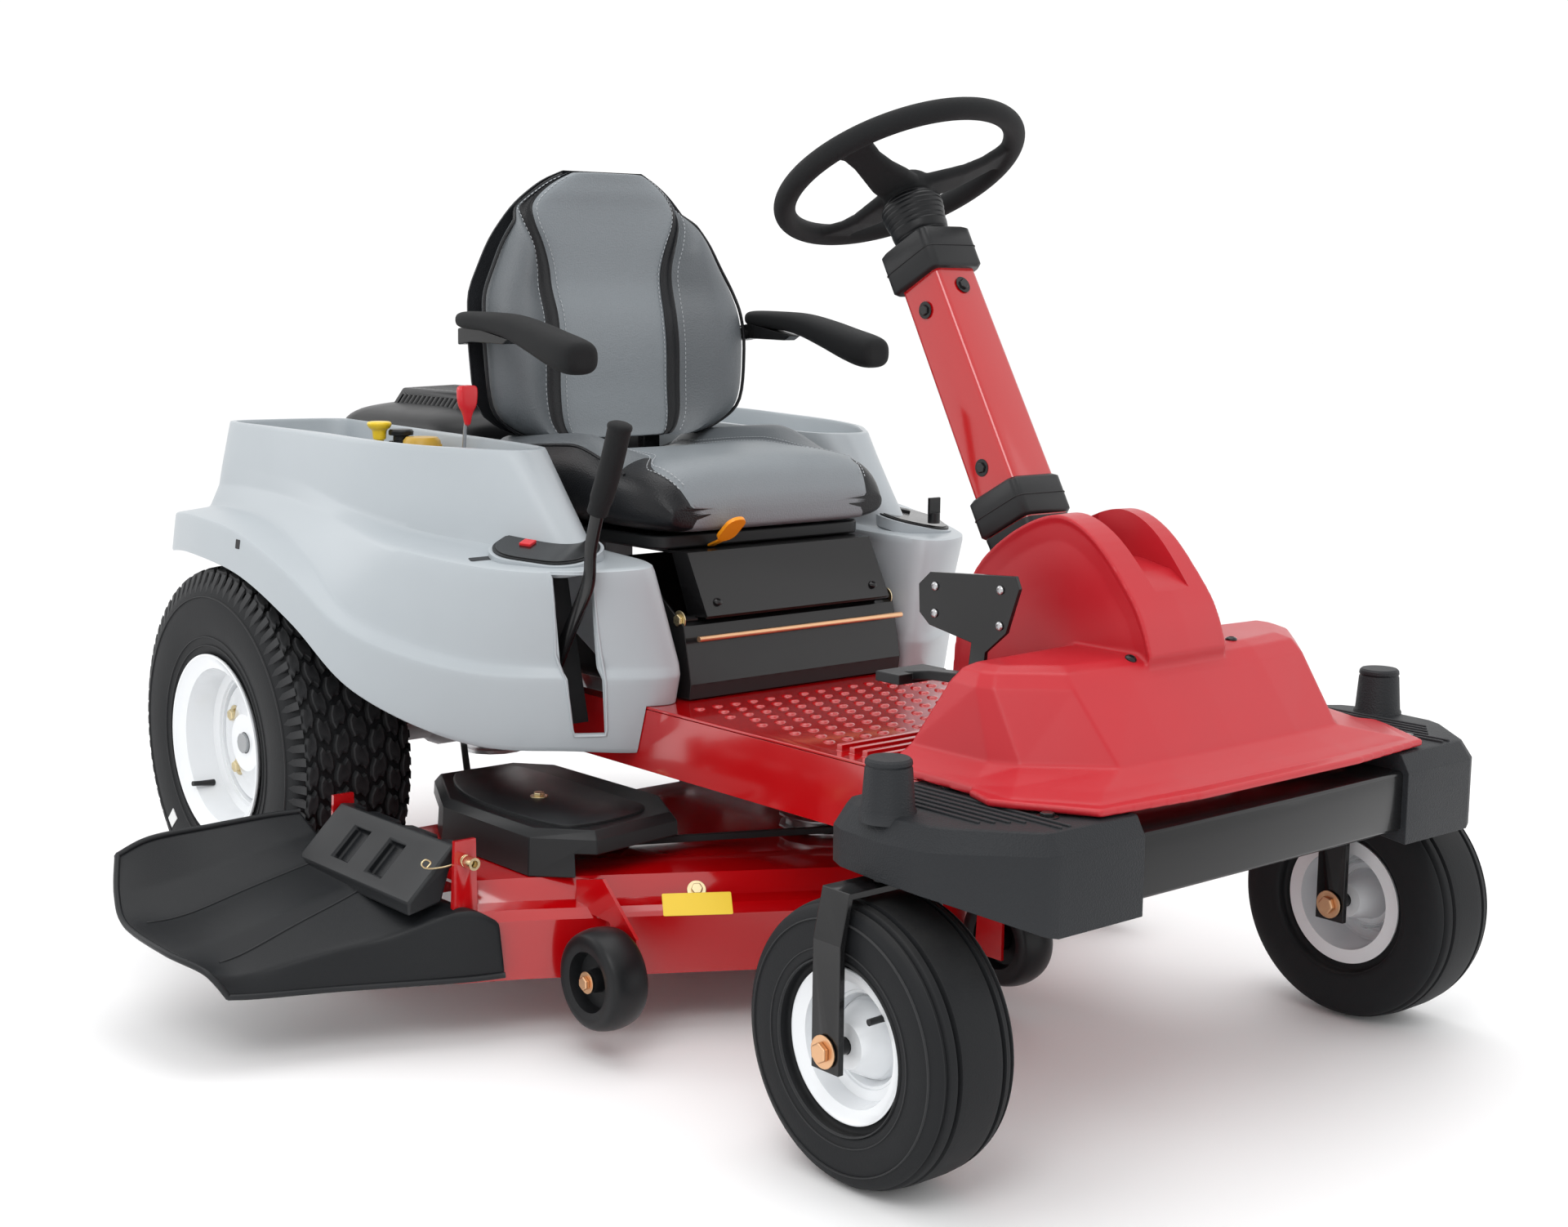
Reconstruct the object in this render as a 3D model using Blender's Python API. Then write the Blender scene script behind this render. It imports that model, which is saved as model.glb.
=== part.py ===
"""A steering-wheel zero turn mower with a side-discharge deck, as separate named pieces.

The machine is laid out with its rear axle on x = 0, y = 0 and the ground at z = 0. Its front points
along -Y and the rider's left is +X. The empty "machine" then moves the whole layout, so that the
origin is the centre of the footprint on the ground. Units are metres.
"""

import math

import bmesh
import bpy
import numpy as np
from mathutils import Vector

# Wheels
REAR_RADIUS = 0.2794
REAR_WIDTH = 0.208
REAR_TRACK = 0.504
REAR_RIM_RADIUS = 0.1443
FRONT_RADIUS = 0.1651
FRONT_WIDTH = 0.127
FRONT_TRACK = 0.461
FRONT_AXLE_Y = -1.356
FRONT_RIM_RADIUS = 0.0892
SPINDLE_Y = -1.363

# Frame and front end
RAIL_OUTER = 0.2725
RAIL_WIDTH = 0.030
RAIL_BOTTOM = 0.318
RAIL_TOP = 0.405
FRONT_END = -1.556
REAR_END = 0.4012
BEAM_BOTTOM = 0.326
BEAM_TOP = 0.404
CAP_INNER = 0.250
CAP_OUTER = 0.490
CAP_LOW = 0.250
CAP_TOP = 0.425
CAP_WALL = 0.004
DOME_HALF = 0.081
PEDAL_PIVOT = (-0.181, -1.218, 0.508)
REVERSE_PIVOT = (-0.161, -1.200, 0.515)

# Steering column
WHEEL_CENTRE = (0.0, -0.876, 1.146)
COLUMN_TILT = math.radians(29)
RING_RADIUS = 0.164
GRIP_RADIUS = 0.0145

# Seat
SEAT_PIVOT = (0.0, -0.651, 0.523)
ARMREST_X = 0.283
ARMREST_PIVOT = (-0.222, 0.925)

# Deck
DECK_HALF = 0.655
DECK_BOTTOM = 0.082
DECK_TOP = 0.205
BLADE_RADIUS = 0.196
BLADE_EDGE = 0.026
BLADE_HEEL = 0.030
BLADE_LOW = 0.1000
BLADE_HIGH = 0.1048
SPINDLES = {"right": (-0.405, -0.56), "centre": (0.0, -0.745), "left": (0.405, -0.56)}
SCALP_RADIUS = 0.067
SCALP_WHEELS = {"right": (-0.478, -0.853), "centre": (0.066, -1.053), "left": (0.478, -0.853)}
SCALP_AXLE = 0.104
CHUTE_PIVOT = (-0.590, 0.247)
CHUTE_REACH = 0.930

DRUM_CENTRE = (0.0, 0.150)
DRUM_RADIUS = 0.050
PULLEY_RADIUS = 0.060

GAP = 0.0006
SWING_GAP = 0.0024
THROTTLE_PIVOT = (-0.285, -0.215)
SIDES = {"right": -1, "left": 1}


# ---------------------------------------------------------------- scene and finish


def clear_scene():
    for obj in list(bpy.data.objects):
        bpy.data.objects.remove(obj, do_unlink=True)


def make_empty(name, location, rotation=(0, 0, 0), parent=None):
    empty = bpy.data.objects.new(name, None)
    bpy.context.scene.collection.objects.link(empty)
    empty.location = location
    empty.rotation_euler = rotation
    empty.parent = parent
    return empty


FINISHES = {
    "red_paint": ((0.50, 0.004, 0.008), 0.18, 0.0),
    "red_plastic": ((0.55, 0.025, 0.035), 0.38, 0.0),
    "grey_plastic": ((0.52, 0.57, 0.60), 0.36, 0.0),
    "charcoal_plastic": ((0.030, 0.034, 0.038), 0.55, 0.0),
    "black_plastic": ((0.012, 0.012, 0.013), 0.40, 0.0),
    "black_paint": ((0.010, 0.010, 0.011), 0.25, 0.0),
    "tyre_rubber": ((0.022, 0.023, 0.025), 0.80, 0.0),
    "white_paint": ((0.85, 0.86, 0.87), 0.20, 0.0),
    "foam_rubber": ((0.020, 0.021, 0.023), 0.75, 0.0),
    "seat_vinyl": ((0.30, 0.34, 0.36), 0.45, 0.0),
    "yellow_plastic": ((0.85, 0.62, 0.03), 0.35, 0.0),
    "orange_plastic": ((0.90, 0.33, 0.01), 0.35, 0.0),
    "red_knob": ((0.65, 0.02, 0.03), 0.30, 0.0),
    "cast_aluminium": ((0.45, 0.46, 0.47), 0.45, 1.0),
    "steel": ((0.55, 0.55, 0.56), 0.30, 1.0),
    "zinc": ((0.72, 0.62, 0.38), 0.30, 1.0),
}


def paint(obj, finish):
    color, roughness, metallic = FINISHES[finish]
    made = bpy.data.materials.new(obj.name)
    made.use_nodes = True
    shader = made.node_tree.nodes["Principled BSDF"]
    shader.inputs["Base Color"].default_value = (*color, 1.0)
    shader.inputs["Roughness"].default_value = roughness
    shader.inputs["Metallic"].default_value = metallic
    obj.data.materials.append(made)


# ---------------------------------------------------------------- shapes: (points, faces)


def loft(rings, joined=False):
    """A skin over rings of equal length, capped at both ends, or joined end to end into a loop."""
    size = len(rings[0])
    points = [tuple(p) for ring in rings for p in ring]
    faces = []
    spans = len(rings) if joined else len(rings) - 1
    for i in range(spans):
        low, high = i * size, ((i + 1) % len(rings)) * size
        for j in range(size):
            k = (j + 1) % size
            faces.append((low + j, low + k, high + k, high + j))
    if not joined:
        faces.append(tuple(range(size)))
        last = (len(rings) - 1) * size
        faces.append(tuple(last + j for j in range(size)))
    return points, faces


def prism(outline, axis, low, high):
    """An outline of (a, b) pairs, extruded along an axis. The pairs are the other two axes in order."""
    def place(a, b, c):
        return {"x": (c, a, b), "y": (a, c, b), "z": (a, b, c)}[axis]

    return loft([[place(a, b, c) for a, b in outline] for c in (low, high)])


def box(low, high):
    outline = [(low[0], low[1]), (high[0], low[1]), (high[0], high[1]), (low[0], high[1])]
    return prism(outline, "z", low[2], high[2])


def circle(centre, radius, sides, start=0.0):
    turns = [start + 2 * math.pi * i / sides for i in range(sides)]
    return [(centre[0] + radius * math.cos(t), centre[1] + radius * math.sin(t)) for t in turns]


def turned(profile, centre, axis, sides):
    """A closed (along, radius) profile turned about an axis. It stays off the axis."""
    rings = []
    for i in range(sides):
        t = 2 * math.pi * i / sides
        ring = []
        for along, radius in profile:
            p, q = radius * math.cos(t), radius * math.sin(t)
            offset = {"x": (along, p, q), "y": (p, along, q), "z": (p, q, along)}[axis]
            ring.append(tuple(c + o for c, o in zip(centre, offset)))
        rings.append(ring)
    return loft(rings, joined=True)


def spun(profile, centre, axis, sides):
    """A solid with capped ends, from (along, radius) pairs in order along the axis."""
    rings = []
    for along, radius in profile:
        ring = []
        for p, q in circle((0, 0), radius, sides):
            offset = {"x": (along, p, q), "y": (p, along, q), "z": (p, q, along)}[axis]
            ring.append(tuple(c + o for c, o in zip(centre, offset)))
        rings.append(ring)
    return loft(rings)


def swept(path, radius, sides):
    """A round bar along a path of points."""
    path = [Vector(p) for p in path]
    rings = []
    side = None
    for i, point in enumerate(path):
        ahead = (path[min(i + 1, len(path) - 1)] - path[max(i - 1, 0)]).normalized()
        if side is None:
            side = ahead.orthogonal().normalized()
        side = (side - ahead * side.dot(ahead)).normalized()
        up = ahead.cross(side)
        rings.append([point + side * a + up * b for a, b in circle((0, 0), radius, sides)])
    return loft(rings)


def rounded_outline(x_low, x_high, y_low, y_high, radius, steps=3):
    outline = []
    centres = (
        (x_high - radius, y_high - radius, 0),
        (x_low + radius, y_high - radius, 1),
        (x_low + radius, y_low + radius, 2),
        (x_high - radius, y_low + radius, 3),
    )
    for cx, cy, quarter in centres:
        for i in range(steps + 1):
            t = (quarter + i / steps) * math.pi / 2
            outline.append((cx + radius * math.cos(t), cy + radius * math.sin(t)))
    return outline


def through(points, count, ring=False):
    """A smooth Catmull-Rom line through the points, as count points evenly spread over the spans."""
    points = np.array(points, float)
    size = len(points)
    spans = size if ring else size - 1
    line = []
    for i in range(count):
        place = i * spans / (count if ring else count - 1)
        k = min(int(place), spans - 1)
        t = place - k
        index = [k - 1, k, k + 1, k + 2]
        if ring:
            index = [j % size for j in index]
        else:
            index = [min(max(j, 0), size - 1) for j in index]
        a, b, c, d = points[index]
        line.append(
            0.5 * (2 * b + (c - a) * t + (2 * a - 5 * b + 4 * c - d) * t**2 + (3 * b - a - 3 * c + d) * t**3)
        )
    return [tuple(float(v) for v in p) for p in line]


# ---------------------------------------------------------------- objects


def mirrored(points, side):
    return [(side * x, y, z) for x, y, z in points]


def add(name, shape, finish, origin=(0, 0, 0), parent=None, helper=False, closed=True):
    """An object from a shape in the machine's layout, with its own origin at a natural point."""
    points, faces = shape
    mesh = bpy.data.meshes.new(name)
    mesh.from_pydata([Vector(p) - Vector(origin) for p in points], [], faces)
    if closed:
        edit = bmesh.new()
        edit.from_mesh(mesh)
        bmesh.ops.recalc_face_normals(edit, faces=edit.faces[:])
        edit.to_mesh(mesh)
        edit.free()
    obj = bpy.data.objects.new(name, mesh)
    bpy.context.scene.collection.objects.link(obj)
    obj.location = origin
    obj.parent = parent or machine
    mesh.shade_smooth()
    mesh.set_sharp_from_angle(angle=math.radians(40))
    if helper:
        obj.hide_render = True
        obj.display_type = "WIRE"
    else:
        paint(obj, finish)
    return obj


def combine(obj, shapes, operation="UNION", origin=(0, 0, 0), parent=None):
    """Joins shapes to an object, or cuts them from it."""
    for i, shape in enumerate(shapes):
        name = f"{obj.name}_{operation.lower()}_{len(obj.modifiers)}_{i}"
        helper = add(name, shape, None, origin, parent, helper=True)
        step = obj.modifiers.new(f"{operation.lower()} {i}", "BOOLEAN")
        step.operation = operation
        step.solver = "EXACT"
        step.object = helper
    return obj


def cut(obj, shapes, origin=(0, 0, 0), parent=None):
    return combine(obj, shapes, "DIFFERENCE", origin, parent)


def bevel(obj, width, segments=2, angle=40):
    step = obj.modifiers.new("edges", "BEVEL")
    step.width = width
    step.segments = segments
    step.limit_method = "ANGLE"
    step.angle_limit = math.radians(angle)
    return obj


def thicken(obj, thickness, offset=-1):
    step = obj.modifiers.new("sheet", "SOLIDIFY")
    step.thickness = thickness
    step.offset = offset
    step.use_even_offset = False
    return obj


# ---------------------------------------------------------------- wheels


def tyre_profile(radius, width, rim, rim_width, wall):
    """Half of a tyre's section is mirrored: outer skin from bead to crown, then the inner skin back."""
    half = width / 2
    bead = rim_width / 2
    outer = (
        (0.86 * bead, rim * 0.905),
        (0.92 * bead, rim + 0.010),
        (0.990 * half, rim + 0.42 * (radius - rim)),
        (0.930 * half, rim + 0.78 * (radius - rim)),
        (0.740 * half, rim + 0.96 * (radius - rim)),
        (0.380 * half, radius),
    )
    inner = (
        (0.38 * half, radius - wall),
        (0.80 * half, rim + 0.62 * (radius - rim)),
        (0.80 * bead, rim * 0.905),
    )
    right = list(outer) + [(-a, r) for a, r in reversed(outer)]
    left = [(-a, r) for a, r in reversed(inner)] + list(inner)
    return right + left


def rim_profile(width, rim, hub_radius, dish, hub_out):
    """A dished wheel centre: the barrel with both flanges, the disc and a hub with a bore."""
    half = width / 2
    seat = rim * 0.885
    bore = hub_radius * 0.42
    return [
        (-0.96 * half, seat - 0.010),
        (-0.96 * half, rim * 0.985),
        (-0.905 * half, rim * 0.985),
        (-0.860 * half, seat),
        (0.860 * half, seat),
        (0.925 * half, rim * 0.99),
        (0.985 * half, rim),
        (0.985 * half, rim - 0.004),
        (0.90 * half, seat - 0.002),
        (0.86 * half, seat - 0.010),
        (dish + 0.012, seat - 0.012),
        (dish + 0.004, hub_radius * 1.8),
        (hub_out, hub_radius * 1.15),
        (hub_out, bore),
        (-hub_out * 0.9, bore),
        (-hub_out * 0.9, hub_radius),
        (dish - 0.006, hub_radius * 1.4),
        (dish - 0.001, seat - 0.014),
        (dish - 0.010, seat - 0.010),
    ]


def make_wheel(kind, side_name, radius, width, rim, rim_width, track, axle_y, sides, hub, dish, hub_out):
    side = SIDES[side_name]
    centre = (side * track, axle_y, radius)
    axle = make_empty(f"{kind}_wheel_{side_name}_axis", centre, parent=machine)
    wall = 0.012 if kind == "rear" else 0.008
    for part, profile, finish in (
        ("tyre", tyre_profile(radius, width, rim, rim_width, wall), "tyre_rubber"),
        ("rim", rim_profile(rim_width, rim, hub, dish, hub_out), "white_paint"),
    ):
        shape = turned([(side * a, r) for a, r in profile], (0, 0, 0), "x", sides)
        add(f"{kind}_{part}_{side_name}", shape, finish, parent=axle)


def make_wheels():
    for side_name in SIDES:
        make_wheel(
            "rear", side_name, REAR_RADIUS, REAR_WIDTH, REAR_RIM_RADIUS, REAR_WIDTH,
            REAR_TRACK, 0.0, 28, 0.040, 0.030, 0.050,
        )
        make_wheel(
            "front", side_name, FRONT_RADIUS, FRONT_WIDTH, FRONT_RIM_RADIUS, 0.104,
            FRONT_TRACK, FRONT_AXLE_Y, 24, 0.024, 0.012, 0.050,
        )


def make_fork(side_name):
    """A caster fork: a crown plate with the spindle on top, two bent legs, and the axle bolt across."""
    side = SIDES[side_name]
    x = side * FRONT_TRACK
    leg = 0.076
    thick = 0.008
    half_width = 0.0225
    crown_low = FRONT_RADIUS * 2 + 0.008
    outline = [
        (-leg - 0.004, 0.142), (-leg + 0.004, 0.142),
        (-leg + 0.004, 0.285), (-0.062, crown_low),
        (0.062, crown_low), (leg - 0.004, 0.285),
        (leg - 0.004, 0.142), (leg + 0.004, 0.142),
        (leg + 0.004, 0.289), (0.067, crown_low + thick),
        (-0.067, crown_low + thick), (-leg - 0.004, 0.289),
    ]
    placed = [(x + a, z) for a, z in outline]
    shape = prism(placed, "y", FRONT_AXLE_Y - half_width, FRONT_AXLE_Y + half_width)
    fork = add(f"fork_{side_name}", shape, "black_paint", (x, SPINDLE_Y, 0))
    axle = spun([(-0.090, 0.0095), (0.090, 0.0095)], (x, FRONT_AXLE_Y, FRONT_RADIUS), "x", 12)
    spindle = spun([(crown_low + 0.002, 0.0125), (0.404, 0.0125)], (x, SPINDLE_Y, 0), "z", 16)
    combine(fork, [axle, spindle])


# ---------------------------------------------------------------- frame and front end


def make_frame():
    """The welded main frame: two rails, cross members and the engine deck plate."""
    left = box((RAIL_OUTER - RAIL_WIDTH, -1.462, RAIL_BOTTOM), (RAIL_OUTER, 0.36, RAIL_TOP))
    right = (mirrored(left[0], -1), left[1])
    inner = RAIL_OUTER - RAIL_WIDTH + 0.004
    frame = add("main_frame", left, "red_paint")
    members = [
        box((-inner, -1.460, RAIL_BOTTOM + 0.010), (inner, -1.420, RAIL_TOP - 0.010)),
        box((-inner, -0.640, RAIL_TOP - 0.040), (inner, -0.600, RAIL_TOP - 0.004)),
        box((-inner, -0.060, RAIL_TOP - 0.008), (inner, 0.356, RAIL_TOP - 0.001)),
    ]
    combine(frame, [members[0], right, members[1], members[2]])
    cut(frame, [spun([(0.38, 0.017), (0.42, 0.017)], (*DRUM_CENTRE, 0), "z", 16)])


def make_front_beam():
    """The black cross tube, with an arm at each end that carries the caster's bearing tube."""
    tube = box((-0.372, -1.546, BEAM_BOTTOM), (0.372, -1.4625, BEAM_TOP))
    beam = bevel(add("front_beam", tube, "black_paint"), 0.006)
    arms = []
    cutters = []
    for side in SIDES.values():
        x = side * FRONT_TRACK
        plan = [
            (0.355, -1.500), (0.425, -1.496), (0.462, -1.440), (0.480, -1.385),
            (0.478, -1.335), (0.395, -1.322), (0.355, -1.322),
        ]
        arms.append(prism([(side * a, b) for a, b in plan], "z", 0.372, 0.388))
        cutters.append(spun([(0.30, 0.0131), (0.46, 0.0131)], (x, SPINDLE_Y, 0), "z", 16))
    combine(beam, arms)
    cut(beam, cutters)


# Corners of a bumper cap seen from above, on the +X side, with the height of its hem and of its edge.
CAP_PLAN = [
    (CAP_INNER, -1.554, 0.311, 0.406), (0.386, -1.556, 0.311, 0.406), (0.448, -1.510, 0.334, 0.403),
    (0.484, -1.445, 0.348, 0.398), (0.490, -1.385, 0.354, 0.395), (0.484, -1.315, 0.356, 0.394),
    (0.450, -1.275, 0.356, 0.396), (0.365, -1.262, 0.356, 0.400), (0.275, -1.262, 0.356, 0.402),
]
CAP_MIDDLE = (0.360, -1.405)


def cap_ring(inset, pick):
    """One ring of the cap, drawn in by inset, with the height that pick gives for each corner."""
    ring = []
    for x, y, hem, edge in CAP_PLAN:
        toward = Vector((CAP_MIDDLE[0] - x, CAP_MIDDLE[1] - y))
        pull = toward.normalized() * inset * (1.3 if x < CAP_OUTER - 0.01 else 1.0)
        near = x + pull.x if x > CAP_INNER + 0.03 else x
        ring.append((near, y + pull.y, pick(hem, edge)))
    return ring


def make_bumper_cap(side_name):
    """A moulded cap over the end of the beam, with the round cover over the caster spindle."""
    side = SIDES[side_name]
    rings = [
        cap_ring(0.0, lambda hem, edge: hem),
        cap_ring(0.0, lambda hem, edge: edge),
        cap_ring(0.020, lambda hem, edge: CAP_TOP),
    ]
    points, faces = loft(rings)
    cap = add(f"bumper_cap_{side_name}", (mirrored(points, side), faces), "charcoal_plastic")
    post = spun(
        [(CAP_TOP - 0.008, 0.0315), (CAP_TOP + 0.008, 0.0295), (0.478, 0.0235), (0.484, 0.0205)],
        (side * 0.459, SPINDLE_Y, 0), "z", 20,
    )
    combine(cap, [post])
    rings = [
        [(x - 0.03 * (x < CAP_INNER + 0.03), y, z) for x, y, z in ring]
        for ring in (
            cap_ring(CAP_WALL, lambda hem, edge: CAP_LOW),
            cap_ring(CAP_WALL, lambda hem, edge: edge - 0.002),
            cap_ring(0.017, lambda hem, edge: CAP_TOP - 0.005),
        )
    ]
    hollow, hollow_faces = loft(rings)
    cut(cap, [(mirrored(hollow, side), hollow_faces)])


# ---------------------------------------------------------------- hood and foot area


def hood_base_rings(wall):
    """Rings from the hood's hem to its top shelf. The front bows forwards between its rounded corners."""
    levels = (
        (0.428, 0.330, -1.532, -1.430, -1.226),
        (0.472, 0.308, -1.508, -1.400, -1.236),
        (0.545, 0.288, -1.432, -1.335, -1.285),
        (0.563, 0.270, -1.408, -1.325, -1.300),
    )
    rings = []
    for height, half, front, corner, rear in levels:
        z = height - (wall if height > 0.43 else 0.02 * (wall > 0))
        reach = half - wall
        front_line = [
            (reach * a, front + wall + (corner - front) * abs(a) ** 3.2, z)
            for a in (-0.97, -0.85, -0.65, -0.35, 0.0, 0.35, 0.65, 0.85, 0.97)
        ]
        side = (reach, max(corner + 0.02, (corner + rear) / 2), z)
        back = (reach * 0.95, rear - wall, z)
        rings.append(
            front_line + [side, back, (0.0, rear - wall + 0.018, z)]
            + [(-back[0], back[1], z), (-side[0], side[1], z)]
        )
    return rings


def hood_dome_rings():
    """Rings across the dome, one for each place along x, each a side outline of the arch."""
    outline = [
        (-1.400, 0.540), (-1.392, 0.575), (-1.368, 0.628), (-1.330, 0.676), (-1.280, 0.708),
        (-1.225, 0.719), (-1.170, 0.706), (-1.122, 0.668), (-1.098, 0.610), (-1.084, 0.520),
        (-1.084, 0.440), (-1.320, 0.440),
    ]
    centre_y, centre_z = -1.24, 0.56
    rings = []
    for share, scale in ((-1.0, 0.90), (-0.93, 0.975), (-0.75, 1.0), (0.75, 1.0), (0.93, 0.975), (1.0, 0.90)):
        ring = []
        for y, z in outline:
            height = centre_z + (z - centre_z) * scale if z > 0.5 else z
            ring.append((DOME_HALF * share, centre_y + (y - centre_y) * scale, height))
        rings.append(ring)
    return rings


def make_hood():
    """The front hood: a flanged shell with the arched dome that the steering column comes out of."""
    hood = add("hood", loft(hood_base_rings(0)), "red_plastic")
    flange = [
        (-0.349, -1.378), (-0.364, -1.424), (-0.351, -1.450), (-0.300, -1.534), (-0.150, -1.550),
        (0.150, -1.550), (0.300, -1.534), (0.351, -1.450), (0.364, -1.424), (0.349, -1.378),
    ]
    wall = 0.0045
    combine(hood, [prism(flange, "z", 0.4285, 0.4380), loft(hood_dome_rings())])
    cut(hood, [loft(hood_base_rings(wall))])
    opening = prism(rounded_outline(-0.0455, 0.0455, -0.0475, 0.0455, 0.012), "z", -0.66, -0.38)
    cut(hood, [opening], parent=column)


def make_foot_pan():
    pan = box((-RAIL_OUTER, -1.215, RAIL_TOP + GAP), (RAIL_OUTER, -0.648, RAIL_TOP + 0.0046))
    foot_pan = add("foot_pan", pan, "red_paint")
    ribs = [
        box((-0.250, y, RAIL_TOP + 0.004), (0.250, y + 0.010, RAIL_TOP + 0.013))
        for y in np.arange(-1.150, -1.030, 0.024)
    ]
    combine(foot_pan, ribs)


def make_pedals():
    """The forward pedal's plate and arm, and the low reverse pedal behind it, on the rider's right."""
    plate = [
        (-1.120, 0.628), (-1.140, 0.645), (-1.285, 0.655), (-1.292, 0.640),
        (-1.272, 0.584), (-1.238, 0.556), (-1.232, 0.500), (-1.205, 0.500),
        (-1.214, 0.565), (-1.140, 0.578), (-1.122, 0.592),
    ]
    shape = prism(plate, "x", -0.184, -0.178)
    pedal = add("forward_pedal", shape, "black_paint", PEDAL_PIVOT)
    axle = spun([(-0.192, 0.007), (-0.128, 0.007)], (0, *PEDAL_PIVOT[1:]), "x", 12)
    combine(pedal, [axle])
    arm = [
        (-1.205, 0.522), (-1.130, 0.517), (-1.070, 0.507), (-1.070, 0.497), (-1.130, 0.505), (-1.205, 0.509),
    ]
    reverse = add("reverse_pedal", prism(arm, "x", -0.172, -0.150), "black_plastic", REVERSE_PIVOT)
    pad = box((-0.196, -1.100, 0.496), (-0.112, -1.056, 0.509))
    combine(reverse, [pad])


# ---------------------------------------------------------------- steering column


def make_column():
    """The square column tube, its two collars and the steering wheel, along the column's own axis."""
    rings = []
    for height, half, shift in ((-0.610, 0.0395, -0.003), (-0.120, 0.0365, 0.0)):
        outline = rounded_outline(-half, half, -half, half, 0.006, 2)
        rings.append([(x, y + shift, height) for x, y in outline])
    add("column_tube", loft(rings), "red_paint", parent=column)
    collars = (("collar_top", -0.162, -0.104, 0.0085), ("collar_bottom", -0.520, -0.470, 0.0065))
    for name, low, high, grow in collars:
        half = 0.039 + grow
        outline = rounded_outline(-half, half, -half, half, 0.010, 2)
        collar = add(name, prism(outline, "z", low, high), "black_plastic", parent=column)
        hole = rounded_outline(-0.0400, 0.0400, -0.0415, 0.0400, 0.006, 2)
        top = high - 0.006 if name == "collar_top" else high + 0.01
        cut(collar, [prism(hole, "z", low - 0.01, top)], parent=column)


def spoke(turn, half_inner, half_outer):
    """A tapering spoke that rises from the hub to the grip."""
    rings = []
    for reach, rise, half, thick in (
        (0.018, -0.027, half_inner, 0.008), (0.075, -0.022, (half_inner + half_outer) / 2, 0.008),
        (0.130, -0.010, half_outer, 0.007), (0.158, -0.001, half_outer * 1.15, 0.007),
    ):
        ring = []
        for a, b in ((-1, -1), (1, -1), (1, 1), (-1, 1)):
            x, y = reach, a * half
            ring.append((
                x * math.cos(turn) - y * math.sin(turn),
                x * math.sin(turn) + y * math.cos(turn), rise + b * thick,
            ))
        rings.append(ring)
    return loft(rings)


def make_steering_wheel():
    ring = []
    for t in range(28):
        turn = 2 * math.pi * t / 28
        section = circle((RING_RADIUS, 0), GRIP_RADIUS, 6)
        ring.append([(r * math.cos(turn), r * math.sin(turn), z) for r, z in section])
    wheel = add("steering_wheel", loft(ring, joined=True), "foam_rubber", parent=column)
    hub = spun([(-0.038, 0.032), (-0.030, 0.034), (-0.016, 0.032), (-0.010, 0.024)], (0, 0, 0), "z", 20)
    turns = [math.radians(a) for a in (90, 205, 335)]
    combine(wheel, [hub] + [spoke(t, 0.026, 0.017) for t in turns], parent=column)
    boot = [
        (-0.1034, 0.030), (-0.085, 0.034), (-0.076, 0.044), (-0.058, 0.046), (-0.046, 0.042),
        (-0.0386, 0.034),
    ]
    add("steering_hub", spun(boot, (0, 0, 0), "z", 20), "black_plastic", parent=column)


# ---------------------------------------------------------------- fenders and controls

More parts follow.
